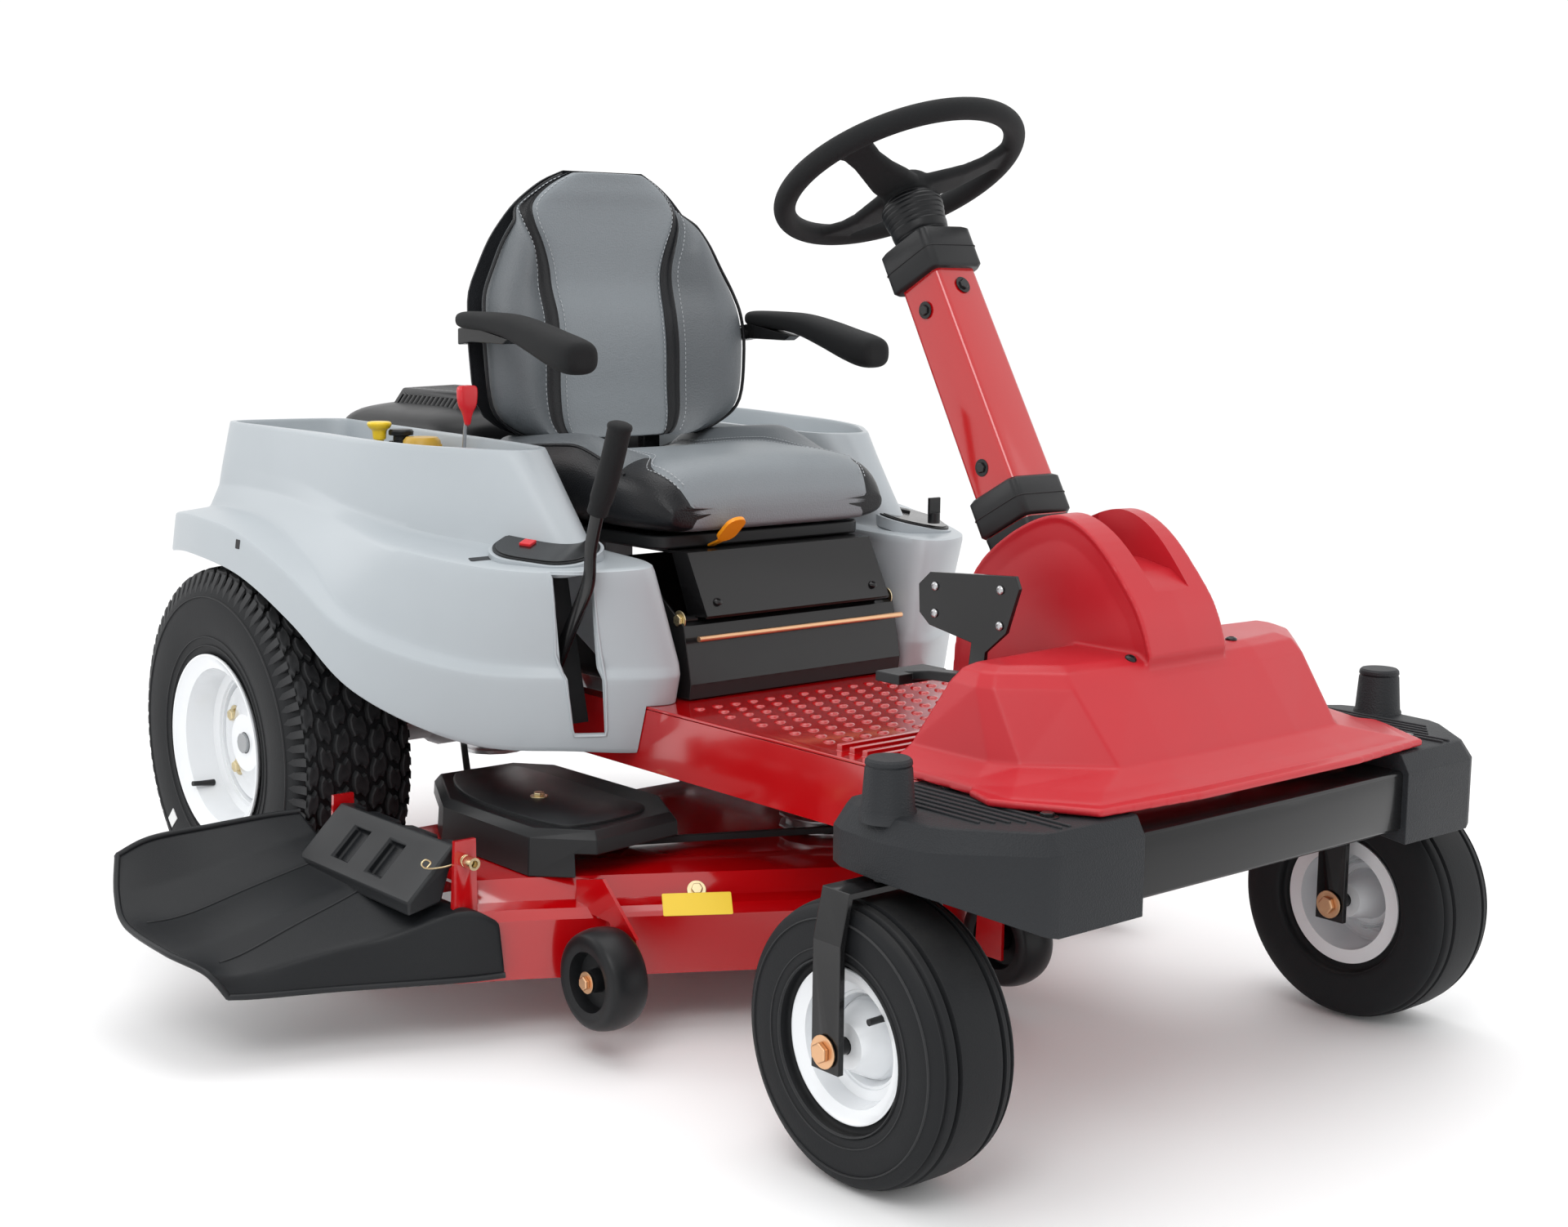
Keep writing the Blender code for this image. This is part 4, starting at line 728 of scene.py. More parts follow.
def wheels():
    for side_name in SIDES:
        wheel("rear", side_name, REAR, 0.040, 0.030, 0.050, 5, ())
        grooves = ((0.0, 0.0034, 0.0060), (0.0170, 0.0034, 0.0060), (0.0335, 0.0034, 0.0060),
                   (0.0480, 0.0030, 0.0045))
        wheel("front", side_name, FRONT, 0.024, 0.012, 0.050, 0, grooves)
        side = SIDES[side_name]
        at = Vector((side * FRONT["track"], FRONT["y"], FRONT["radius"]))
        ends = [(at + Vector((side * 0.0815, 0, 0)), (side, 0, 0)),
                (at - Vector((side * 0.0815, 0, 0)), (-side, 0, 0))]
        bolts(f"front_axle_bolts_{side_name}", ends, COPPER, f"caster_{side_name}", 0.0125, 0.010)
        refined(f"fork_{side_name}", BLACK_PAINT, f"caster_{side_name}", 0.0018)
    for name, (x, y) in SCALP_WHEELS.items():
        scalp_wheel(name, x, y)


def scalp_wheel(name, x, y):
    """A rounded hard wheel with a deep dish round its hub."""
    outward = -1 if x < 0 else 1
    half = 0.029
    curve = through([(-0.92 * half, 0.040), (-half, 0.052), (-0.86 * half, 0.062), (-0.30 * half, 0.0668),
                     (0.30 * half, 0.0668), (0.86 * half, 0.062), (half, 0.052), (0.92 * half, 0.040)], 40)
    dish = [(0.35 * half, 0.036), (0.30 * half, 0.016), (0.80 * half, 0.014), (0.80 * half, 0.0066),
            (-0.80 * half, 0.0066), (-0.80 * half, 0.014), (-0.30 * half, 0.016), (-0.35 * half, 0.036)]
    profile = [(outward * a, r) for a, r in curve + dish]
    at = Matrix.Translation((x, y, SCALP_AXLE))
    piece(f"scalp_wheel_shape_{name}", turned(profile, (0, 0, 0), "x", 64), BLACK_MOULDED,
          f"scalp_wheel_{name}", (f"scalp_wheel_{name}",), sharp=45, at=at)
    end = (x + outward * 0.0265, y, SCALP_AXLE)
    bolts(f"scalp_bolt_{name}", [(end, (outward, 0, 0))], COPPER, "deck", 0.0095, 0.008)


# ---------------------------------------------------------------- fenders

# Character lines round the left fender, from the lower lip up to the tray's rim
FENDER_LINES = {
    "lip": [
        (0.255, 0.268, 0.575), (0.420, 0.270, 0.562), (0.555, 0.228, 0.560), (0.594, 0.100, 0.572),
        (0.599, -0.080, 0.556), (0.592, -0.235, 0.500), (0.562, -0.360, 0.415), (0.470, -0.495, 0.353),
        (0.367, -0.600, 0.345), (0.222, -0.655, 0.345), (0.210, -0.500, 0.430), (0.250, -0.200, 0.600),
        (0.250, 0.150, 0.600),
    ],
    "flange": [
        (0.255, 0.262, 0.612), (0.420, 0.264, 0.618), (0.550, 0.222, 0.622), (0.588, 0.095, 0.632),
        (0.592, -0.070, 0.620), (0.584, -0.215, 0.570), (0.560, -0.345, 0.500), (0.478, -0.500, 0.458),
        (0.372, -0.618, 0.452), (0.228, -0.690, 0.452), (0.214, -0.500, 0.468), (0.250, -0.200, 0.612),
        (0.250, 0.150, 0.612),
    ],
    "step": [
        (0.255, 0.238, 0.620), (0.410, 0.240, 0.626), (0.505, 0.200, 0.630), (0.525, 0.090, 0.640),
        (0.532, -0.060, 0.632), (0.545, -0.200, 0.588), (0.542, -0.330, 0.518), (0.468, -0.492, 0.474),
        (0.366, -0.612, 0.468), (0.229, -0.688, 0.468), (0.215, -0.500, 0.482), (0.250, -0.200, 0.622),
        (0.250, 0.150, 0.622),
    ],
    "shoulder": [
        (0.255, 0.232, 0.660), (0.405, 0.236, 0.660), (0.490, 0.198, 0.665), (0.503, 0.080, 0.672),
        (0.500, -0.070, 0.665), (0.498, -0.210, 0.645), (0.503, -0.370, 0.622), (0.447, -0.545, 0.606),
        (0.365, -0.650, 0.606), (0.262, -0.672, 0.610), (0.238, -0.500, 0.615), (0.250, -0.200, 0.640),
        (0.250, 0.150, 0.640),
    ],
    "wall": [
        (0.258, 0.228, 0.690), (0.400, 0.232, 0.690), (0.486, 0.195, 0.695), (0.495, 0.070, 0.700),
        (0.490, -0.080, 0.690), (0.478, -0.220, 0.660), (0.440, -0.345, 0.636), (0.385, -0.450, 0.622),
        (0.335, -0.560, 0.610), (0.290, -0.575, 0.610), (0.262, -0.480, 0.622), (0.253, -0.200, 0.650),
        (0.253, 0.150, 0.650),
    ],
    "rim": [
        (0.262, 0.222, 0.764), (0.388, 0.228, 0.766), (0.472, 0.190, 0.768), (0.480, 0.060, 0.768),
        (0.472, -0.080, 0.766), (0.460, -0.220, 0.763), (0.430, -0.330, 0.760), (0.380, -0.405, 0.758),
        (0.338, -0.450, 0.757), (0.292, -0.442, 0.757), (0.264, -0.390, 0.757), (0.258, -0.200, 0.760),
        (0.258, 0.130, 0.764),
    ],
}
TUB_MIDDLE = (0.365, -0.12, 0.0)
TUB_FLOOR = 0.700
FENDER_COLUMNS = 88


def fender_skin(columns):
    """The fender's skin with a tight pair of rows at each character line, and the tub inside its rim."""
    lines = [np.array(through(points, columns, ring=True)) for points in FENDER_LINES.values()]
    rim = lines[-1]
    inward = np.array(TUB_MIDDLE) - rim
    inward[:, 2] = 0
    inward /= np.linalg.norm(inward, axis=1)[:, None]
    lines.append(rim + inward * 0.014 + np.array((0, 0, 0.0005)))
    floor = rim + inward * 0.023
    floor[:, 2] = TUB_FLOOR
    lines.append(floor)
    lines.append(floor + inward * 0.030)
    rows = []
    for low, high in zip(lines, lines[1:]):
        rows += [low, low + (high - low) * 0.12, low + (high - low) * 0.88]
    rows.append(lines[-1])
    return loft([[tuple(p) for p in row] for row in rows], capped=False)


def fenders():
    for side_name, side in SIDES.items():
        points, faces = fender_skin(FENDER_COLUMNS)
        floor = tuple(range(len(points) - FENDER_COLUMNS, len(points)))
        shape = flip((points, faces + [floor]), side)
        fender = piece(f"fender_shape_{side_name}", shape, GREY_MOULDED, "chassis",
                       (f"fender_{side_name}",), sharp=60, wall=0.0038, smooth=1)
        face_up(fender, TUB_FLOOR + 0.05)
        settle(fender)
        low, high = sorted((side * 0.2740, side * 0.10))
        carve(fender, [box((low, -0.72, 0.30), (high, -0.40, 0.4106))])
        if side_name == "right":
            carve(fender, [prism(LEVER_SLOT, "y", -0.720, -0.560)])
            slot_trim(fender)
        details(fender, side_name, side)


LEVER_SLOT = [(-0.397, 0.600), (-0.354, 0.600), (-0.318, 0.372), (-0.357, 0.372)]


def slot_trim(fender):
    """The thin raised edge round the lift lever's slot, and a black plate behind it as painted shade inside
    the slot.
    """
    path = []
    for (a, b), (c, d) in zip(LEVER_SLOT, LEVER_SLOT[1:] + LEVER_SLOT[:1]):
        path += [(a + (c - a) * t, -0.80, b + (d - b) * t) for t in (0.04, 0.2, 0.35, 0.5, 0.65, 0.8, 0.96)]
    grown = []
    middle_x = sum(x for x, _ in LEVER_SLOT) / 4
    middle_z = sum(z for _, z in LEVER_SLOT) / 4
    for x, y, z in path:
        away = Vector((x - middle_x, 0, z - middle_z)).normalized() * 0.004
        grown.append((x + away.x, y, z + away.z))
    landed = [place for place, _ in onto(fender, grown, (0, 1, 0))]
    bead("lever_slot_edge", landed, 0.0020, GREY_MOULDED, "chassis", closed=True)
    # Painted shade: a black plate just behind the opening makes the slot's inside dark
    back = [(-0.402, 0.596), (-0.350, 0.596), (-0.314, 0.380), (-0.362, 0.380)]
    piece("lever_slot_shade_plate", prism(back, "y", -0.588, -0.584), BLACK_MOULDED, "chassis")


def details(fender, side_name, side):
    """Small pieces on the fender's outer face: a near-black patch of painted shade where a square hole is,
    and a plain badge.
    """
    for place, normal in onto(fender, [(side * 0.80, -0.075, 0.602)], (-side, 0, 0)):
        # Painted shade: a flat near-black patch on the surface stands in for the dark inside of a square
        # hole
        hole_shade_patch = prism(rounded(-0.007, 0.007, -0.006, 0.006, 0.0015), "z", -0.0005, 0.0006)
        piece(f"fender_hole_shade_{side_name}", moved(hole_shade_patch, facing(normal, place)), DARK_SEAM_AND_SHADE, "chassis")
    for place, normal in onto(fender, [(side * 0.430, -0.500, 0.80)], (0, 0, -1)):
        plain = prism(rounded(-0.021, 0.021, -0.009, 0.009, 0.004), "z", 0.0, 0.0005)
        piece(f"fender_badge_{side_name}", moved(plain, facing(normal, place, -0.3)), CHARCOAL, "chassis")


# ---------------------------------------------------------------- seat

# Height, half width, front place, depth, and where the black band starts as a share of the half width
BACK_LEVELS = [
    (0.750, 0.150, -0.252, 0.052, 0.58), (0.766, 0.201, -0.262, 0.070, 0.50),
    (0.803, 0.245, -0.274, 0.086, 0.43), (0.885, 0.256, -0.276, 0.094, 0.41),
    (0.940, 0.254, -0.270, 0.094, 0.41), (0.979, 0.245, -0.258, 0.092, 0.435),
    (1.020, 0.224, -0.248, 0.086, 0.49), (1.058, 0.203, -0.240, 0.078, 0.60),
    (1.090, 0.178, -0.232, 0.069, 0.76), (1.115, 0.155, -0.226, 0.060, 0.88),
    (1.136, 0.130, -0.221, 0.048, 0.92), (1.154, 0.102, -0.215, 0.036, 0.92),
    (1.168, 0.070, -0.210, 0.020, 0.92),
]
BAND = 0.10


def band_columns(edge):
    """Places across half of the back, close together at both edges of the band."""
    end = min(edge + BAND, 0.97)
    return (
        [edge * t for t in (0.0, 0.25, 0.5, 0.72, 0.88, 0.96, 1.0)]
        + [edge + (end - edge) * t for t in (0.10, 0.5, 0.90, 1.0)]
        + [end + (1 - end) * t for t in (0.06, 0.2, 0.45, 0.7, 0.88, 1.0)]
    )


def back_front(s, level):
    """How far the back's face stands at a place across it: bolsters forward, seams sunk in."""
    _, _, front, depth, edge = level
    end = min(edge + BAND, 0.97)
    round_off = 1 - (1 - min(abs(s), 1.0) ** 6) ** 0.5
    plump = min(1, depth / 0.09)
    seam = sum(0.0050 * math.exp(-(((abs(s) - place) / 0.018) ** 2)) for place in (edge, end))
    band = 0.003 if edge < abs(s) < end else 0.0
    rise = min(max((abs(s) - end + 0.02) / max(0.82 - end, 0.16), 0.0), 1.0)
    hollow = 0.056 * plump**2 * (1 - rise * rise * (3 - 2 * rise)) - 0.004 * (1 - s * s)
    return front + depth * 0.62 * round_off + seam + band + hollow


def seat_back():
    rings = []
    for level in through(BACK_LEVELS, 46):
        z, half, front, depth, edge = level
        right = band_columns(edge)
        across = [-s for s in reversed(right[1:])] + right
        ring = [(half * s, back_front(s, level), z) for s in across]
        ring += [(half * s, front + depth * (1 - 0.25 * abs(s) ** 3), z)
                 for s in (0.9, 0.6, 0.2, -0.2, -0.6, -0.9)]
        rings.append(ring)
    columns = len(rings[0])
    front = 2 * len(band_columns(0.5)) - 1
    obj = piece("seat_back_pad", loft(rings), [VINYL_GREY, VINYL_BLACK, VINYL_DARK], "seat",
                ("seat_back",), sharp=80)
    half = (front - 1) // 2
    for i, face in enumerate(obj.data.polygons):
        j = i % columns if i < columns * (len(rings) - 1) else columns - 1
        place = abs(j + 0.5 - half)
        face.material_index = 0 if place < 6 else 1 if place < 10 else 2
        if j >= front - 1:
            face.material_index = 1
    subdivided(obj, 1)
    levels = through(BACK_LEVELS, 60)
    seams = []
    for side in (-1, 1):
        for shift in (-0.030, BAND + 0.030):
            path = []
            for level in levels[3:-3]:
                s = side * min(level[4] + shift, 0.985)
                path.append((level[1] * s, back_front(s, level) - 0.0006, level[0]))
            seams.append(stitches(path))
        path = []
        for level in levels[1:-2]:
            s = side * 0.992
            path.append((level[1] * s * 1.004, back_front(s * 0.985, level) + 0.004, level[0]))
        bead(f"seat_back_piping_{'left' if side > 0 else 'right'}", path, 0.0028, VINYL_BLACK, "seat")
    piece("seat_back_stitching", merge(*seams), THREAD, "seat", sharp=60)


def seat_shell():
    """The moulded shell behind the back, with the two bent steel supports below it."""
    rings = []
    for z, half, front, depth, _ in through(BACK_LEVELS, 30):
        near = front + depth * 0.72
        ring = []
        for i in range(40):
            t = math.pi * i / 39
            ring.append(((half + 0.006) * math.cos(t), near + 0.008 + 0.026 * math.sin(t) ** 0.7,
                         z + 0.002))
        ring += [((half - 0.002) * math.cos(math.pi - math.pi * i / 9), near + 0.010, z + 0.002)
                 for i in range(10)]
        rings.append(ring)
    piece("seat_shell_shape", loft(rings), CHARCOAL, "seat", ("seat_shell",), sharp=60,
          edges=0.002)
    bent = [
        (-0.1555, 0.6376), (-0.138, 0.6376), (-0.138, 0.770), (-0.185, 0.830), (-0.212, 0.830),
        (-0.212, 0.790), (-0.1555, 0.756),
    ]
    arms = [prism(bent, "x", *sorted((side * 0.105, side * 0.140))) for side in SIDES.values()]
    piece("seat_supports", merge(*arms), BLACK_PAINT, "seat", edges=0.003)


# The cushion's ends in y, and its seams as shares of its half width: in the middle, at the nose and outside
CUSHION_FRONT, CUSHION_REAR = -0.636, -0.158
CUSHION_BAND = 0.64
NOSE_BAND = 0.84
BOLSTER_EDGE = 0.91


def cushion_profile(t):
    """Top and bottom heights along the cushion, with a waterfall front edge."""
    top = 0.744 + 0.012 * math.sin(math.pi * min(t * 1.2, 1.0)) - 0.012 * t
    nose = max(0.0, 1 - t / 0.15)
    tail = max(0.0, (t - 0.93) / 0.07)
    return top - 0.042 * nose**2.4 - 0.03 * tail**2, 0.640 + 0.004 * nose**2 + 0.006 * tail**2


def cushion_half(t):
    nose = max(0.0, 1 - t / 0.20)
    tail = max(0.0, (t - 0.90) / 0.10)
    return 0.232 - 0.030 * nose**2.2 - 0.022 * tail**2


def across_cushion(s, t):
    """Moves a place across the cushion so that its centre panel widens over the front edge."""
    share = min(max((0.26 - t) / 0.13, 0.0), 1.0)
    edge = CUSHION_BAND + (NOSE_BAND - CUSHION_BAND) * share * share * (3 - 2 * share)
    size = abs(s)
    if size < CUSHION_BAND:
        size *= edge / CUSHION_BAND
    else:
        size = edge + (size - CUSHION_BAND) * (1 - edge) / (1 - CUSHION_BAND)
    return math.copysign(size, s), edge


def cushion_top(place, t):
    """A place on the cushion's upper face. place runs across, t from the front to the rear."""
    s, edge = across_cushion(place, t)
    top, bottom = cushion_profile(t)
    half = cushion_half(t)
    y = CUSHION_FRONT + (CUSHION_REAR - CUSHION_FRONT) * t
    round_off = 1 - (1 - min(abs(s), 1.0) ** 5) ** 0.5
    swell = min(max((t - 0.20) / 0.30, 0.0), 1.0)
    bolster = 0.040 * math.exp(-(((abs(s) - 0.83) / 0.15) ** 2)) * swell * swell * (3 - 2 * swell)
    seam = 0.0042 * math.exp(-(((abs(s) - edge) / 0.020) ** 2))
    height = top - (top - bottom) * 0.55 * round_off + bolster - seam - 0.006 * (1 - s * s) * t
    return half * s, y, height


def seat_cushion():
    right = [0.0, 0.2, 0.4, 0.54, 0.60, 0.625, 0.64, 0.655, 0.68, 0.74, 0.82, 0.88, BOLSTER_EDGE, 0.94,
             0.97, 0.99, 1.0]
    across = [-s for s in reversed(right[1:])] + right
    ends = [0.0, 0.008, 0.022, 0.045, 0.08, 0.13, 0.19]
    along = ends + [0.19 + 0.74 * k / 18 for k in range(1, 19)] + [0.96, 0.985, 1.0]
    under = [
        (1.0, 0.6), (0.97, 0.25), (0.84, 0.0), (0.5, 0.0), (0.0, 0.0), (-0.5, 0.0), (-0.84, 0.0),
        (-0.97, 0.25), (-1.0, 0.6),
    ]
    rings = []
    for t in along:
        bottom = cushion_profile(t)[1]
        half = cushion_half(t)
        y = CUSHION_FRONT + (CUSHION_REAR - CUSHION_FRONT) * t
        ring = [cushion_top(s, t) for s in across]
        middle_height = cushion_top(1.0, t)[2]
        ring += [(half * s, y, bottom + (middle_height - bottom) * part) for s, part in under]
        if t < 0.045:
            pull = (1 - t / 0.045) ** 2
            waist = bottom + 0.030
            ring = [(x, py, z + (waist - z) * pull * (0.42 if z > waist else 0.22)) for x, py, z in ring]
            if t == 0.0:
                rings.append([(x, py - 0.0015, waist + (z - waist) * 0.04) for x, py, z in ring])
        rings.append(ring)
    obj = piece("seat_cushion_pad", loft(rings), [VINYL_GREY, VINYL_BLACK, VINYL_DARK], "seat",
                ("seat_cushion",), sharp=80, smooth=1)
    columns = len(rings[0])
    for i, face in enumerate(obj.data.polygons[:columns * (len(rings) - 1)]):
        t = along[max(i // columns - 1, 0)]
        j = i % columns
        if j < len(across) - 1:
            place = abs(across[j] + across[j + 1]) / 2
            outer = 2 if place < BOLSTER_EDGE and t > 0.2 else 1
            face.material_index = 0 if place < CUSHION_BAND else outer
        else:
            face.material_index = 0 if t < 0.05 and 2 < j - len(across) + 1 < 7 else 1
    rows = []
    for side in (-1, 1):
        for place in (CUSHION_BAND - 0.022, CUSHION_BAND + 0.022):
            path = [cushion_top(side * place, 0.03 + 0.93 * k / 70) for k in range(71)]
            rows.append(stitches([(x, y, z + 0.0006) for x, y, z in path]))
        path = [cushion_top(side * BOLSTER_EDGE, 0.20 + 0.77 * k / 70) for k in range(71)]
        name = "left" if side > 0 else "right"
        bead(f"cushion_piping_{name}", path, 0.0024, VINYL_BLACK, "seat")
    piece("seat_cushion_stitching", merge(*rows), THREAD, "seat", sharp=60)
    refined("seat_pan", BLACK_MOULDED, "seat", 0.004)


def armrests():
    """Firm foam armrests that droop at the front, on black steel brackets."""
    path = [(-0.222, 0.938), (-0.232, 0.938), (-0.300, 0.936), (-0.360, 0.930), (-0.420, 0.916),
            (-0.470, 0.902), (-0.508, 0.893), (-0.530, 0.890), (-0.536, 0.889)]
    widths = [0.012, 0.022, 0.025, 0.028, 0.031, 0.033, 0.033, 0.028, 0.016]
    heights = [0.007, 0.013, 0.0150, 0.0185, 0.0225, 0.0255, 0.0265, 0.0225, 0.0130]
    count = 36
    line = through([(y, z, w, h) for (y, z), w, h in zip(path, widths, heights)], count)
    for side_name, side in SIDES.items():
        x = side * 0.283
        rings = []
        for y, z, w, h in line:
            ring = []
            for k in range(28):
                t = 2 * math.pi * k / 28
                c, s = math.cos(t), math.sin(t)
                a = w * math.copysign(abs(c) ** 0.75, c)
                b = h * math.copysign(abs(s) ** 0.75, s)
                ring.append((x + a, y, z + b))
            rings.append(ring)
        body = f"armrest_{side_name}"
        pad = piece(f"armrest_pad_{side_name}", loft(rings), FOAM, body, (f"armrest_{side_name}",),
                    sharp=70, smooth=1)
        inner = side * 0.2405
        bracket = [(-0.205, 0.900), (-0.240, 0.905), (-0.330, 0.904), (-0.345, 0.912), (-0.240, 0.930),
                   (-0.205, 0.925)]
        low, high = sorted((side * 0.262, side * 0.286))
        boss = spun([(min(inner, side * 0.283), 0.011), (max(inner, side * 0.283), 0.011)],
                    (0, -0.222, 0.913), "x", 24)
        piece(f"armrest_bracket_{side_name}", merge(prism(bracket, "x", low, high), boss), BLACK_PAINT,
              body, edges=0.002)


# ---------------------------------------------------------------- steering

COLUMN = Matrix.Translation((0.0, -0.876, 1.146)) @ tilt(-29, "X")


def steering():
    ring = []
    for i in range(96):
        turn = 2 * math.pi * i / 96
        section = circle((0.164, 0), 0.0150, 20)
        ring.append([(r * math.cos(turn), r * math.sin(turn), z) for r, z in section])
    shapes = [loft(ring, joined=True)]
    for degrees in (90, 205, 335):
        shapes.append(wheel_spoke(math.radians(degrees)))
    hub = [(-0.040, 0.028), (-0.036, 0.033), (-0.026, 0.036), (-0.014, 0.034), (-0.008, 0.027),
           (-0.006, 0.016)]
    shapes.append(spun(hub, (0, 0, 0), "z", 48))
    rim = piece("steering_rim", merge(*shapes), FOAM, "steering", ("steering_wheel",),
                at=COLUMN)
    melted(rim)
    boot = through([(-0.1034, 0.031), (-0.098, 0.036), (-0.088, 0.0385), (-0.078, 0.039), (-0.066, 0.0415),
                    (-0.054, 0.0425), (-0.046, 0.0400), (-0.0386, 0.033)], 36)
    ribs = [(a, r - 0.0011 * (math.sin(a * 900) > 0.7)) for a, r in boot]
    piece("steering_boot", spun(ribs, (0, 0, 0), "z", 48), BLACK_MOULDED, "steering", ("steering_hub",),
          sharp=40, at=COLUMN)
    column_tube()


def wheel_spoke(turn):
    """A broad dished spoke that flares into the rim."""
    rings = []
    for reach, rise, half, thick in (
        (0.010, -0.026, 0.030, 0.009), (0.050, -0.024, 0.029, 0.008), (0.085, -0.020, 0.024, 0.0075),
        (0.115, -0.013, 0.021, 0.0070), (0.140, -0.005, 0.023, 0.0075), (0.156, 0.000, 0.034, 0.0085),
        (0.163, 0.001, 0.046, 0.0090),
    ):
        section = rounded(-half, half, -thick, thick, thick * 0.9, 3)
        rings.append([
            (reach * math.cos(turn) - a * math.sin(turn), reach * math.sin(turn) + a * math.cos(turn),
             rise + b)
            for a, b in section
        ])
    return loft(rings)


def column_tube():
    rings = []
    for height, half, shift in ((-0.640, 0.0405, -0.003), (-0.120, 0.0365, 0.0)):
        outline = rounded(-half, half, -half, half, 0.008, 5)
        rings.append([(x, y + shift, height) for x, y in outline])
    piece("column_tube_shape", loft(rings), RED_PAINT, "chassis", ("column_tube",), sharp=50,
          at=COLUMN)
    for name, low, high, half in (("collar_top", -0.164, -0.104, 0.0465),
                                  ("collar_bottom", -0.522, -0.468, 0.0460)):
        rings = []
        for z, grow in ((low, -0.003), (low + 0.004, 0.0), (high - 0.004, 0.0), (high, -0.004)):
            rings.append([(x, y, z)
                          for x, y in rounded(-half - grow, half + grow, -half - grow, half + grow, 0.011,
                                              5)])
        piece(f"{name}_shape", loft(rings), BLACK_MOULDED, "chassis", (name,), sharp=50,
              at=COLUMN)
        seam = [(x, y, (low + high) / 2)
                for x, y in rounded(-half - 0.0003, half + 0.0003, -half - 0.0003, half + 0.0003, 0.011, 5)]
        piece(f"{name}_seam", swept(seam, 0.0008, 6, True), DARK_SEAM_AND_SHADE, "chassis", at=COLUMN)
    places = []
    for height in (-0.205, -0.435):
        for side in (-1, 1):
            places.append((COLUMN @ Vector((side * 0.0385, 0.004, height)), (side, 0, 0)))
    front = COLUMN.to_3x3() @ Vector((0, -1, 0))
    places.append((COLUMN @ Vector((0.0, -0.0385, -0.190)), front))
    bolts("column_bolts", places, BLACK_PAINT, "chassis", 0.0075, 0.005)


# ---------------------------------------------------------------- hood, caps and foot area


def hood_ring(level, wall=0.0):
    """One level of the hood, as a faceted outline that is the same on both sides, drawn inwards by wall."""
    z, half = level
    near = [(x * (1 - wall / 0.28), y + wall, z) for x, y in half[:-2]]
    near.append((half[-2][0] - wall, half[-2][1], z))
    near.append((half[-1][0] - wall, half[-1][1] - wall, z))
    back = (0.0, half[-1][1] + 0.018 - wall, z)
    return near + [back] + [(-x, y, h) for x, y, h in reversed(near[1:])]


# Height, then the front line from the middle outwards, the front corner, the side and the rear corner
HOOD_LEVELS = [
    (0.4280, ((0.0, -1.531), (0.150, -1.530), (0.290, -1.522), (0.350, -1.440), (0.343, -1.372),
              (0.335, -1.224))),
    (0.4380, ((0.0, -1.529), (0.150, -1.528), (0.288, -1.520), (0.346, -1.440), (0.340, -1.372),
              (0.332, -1.226))),
    (0.4440, ((0.0, -1.512), (0.150, -1.511), (0.262, -1.502), (0.322, -1.424), (0.326, -1.368),
              (0.322, -1.228))),
    (0.4580, ((0.0, -1.480), (0.120, -1.479), (0.205, -1.475), (0.286, -1.398), (0.302, -1.362),
              (0.303, -1.234))),
    (0.5400, ((0.0, -1.421), (0.120, -1.419), (0.215, -1.412), (0.284, -1.350), (0.292, -1.330),
              (0.285, -1.280))),
    (0.5560, ((0.0, -1.407), (0.120, -1.405), (0.212, -1.397), (0.274, -1.343), (0.281, -1.325),
              (0.276, -1.291))),
    (0.5630, ((0.0, -1.392), (0.120, -1.390), (0.200, -1.379), (0.256, -1.335), (0.262, -1.320),
              (0.262, -1.302))),
]


def hood_dome():
    """The arched cowl round the column: a broad strip over the top, with a shallow dish in each cheek."""
    arch = [
        (-1.414, 0.565), (-1.400, 0.603), (-1.378, 0.637), (-1.325, 0.6935), (-1.276, 0.7190),
        (-1.231, 0.7150), (-1.176, 0.688), (-1.128, 0.648), (-1.102, 0.600), (-1.086, 0.530),
        (-1.084, 0.450),
    ]
    outline = through(arch, 48) + [(-1.300, 0.450), (-1.390, 0.450)]
    rings = []
    for x, scale in (
        (-0.0790, 0.30), (-0.0770, 0.60), (-0.0775, 0.85), (-0.0815, 0.955), (-0.0852, 0.985),
        (-0.0862, 0.994), (-0.0840, 1.0), (-0.012, 1.006), (0.0570, 1.0), (0.0590, 0.994), (0.0580, 0.985),
        (0.0545, 0.955), (0.0505, 0.85), (0.0500, 0.60), (0.0520, 0.30),
    ):
        rings.append([
            (x, -1.24 + (y + 1.24) * scale, 0.50 + (z - 0.50) * scale if z > 0.5 else z) for y, z in outline
        ])
    return loft(rings)


def dome_slot():
    """The opening in the dome for the column, and the ramp from it down to the front."""
    rings = []
    for y, low, half in (
        (-1.120, 0.600, 0.037), (-1.222, 0.600, 0.037), (-1.224, 0.668, 0.037), (-1.300, 0.664, 0.035),
        (-1.350, 0.655, 0.033), (-1.392, 0.628, 0.031),
    ):
        rings.append([
            (-0.008 + x, y, z) for x, z in ((-half, low), (half, low), (half + 0.004, 0.780),
                                            (-half - 0.004, 0.780))
        ])
    return loft(rings)


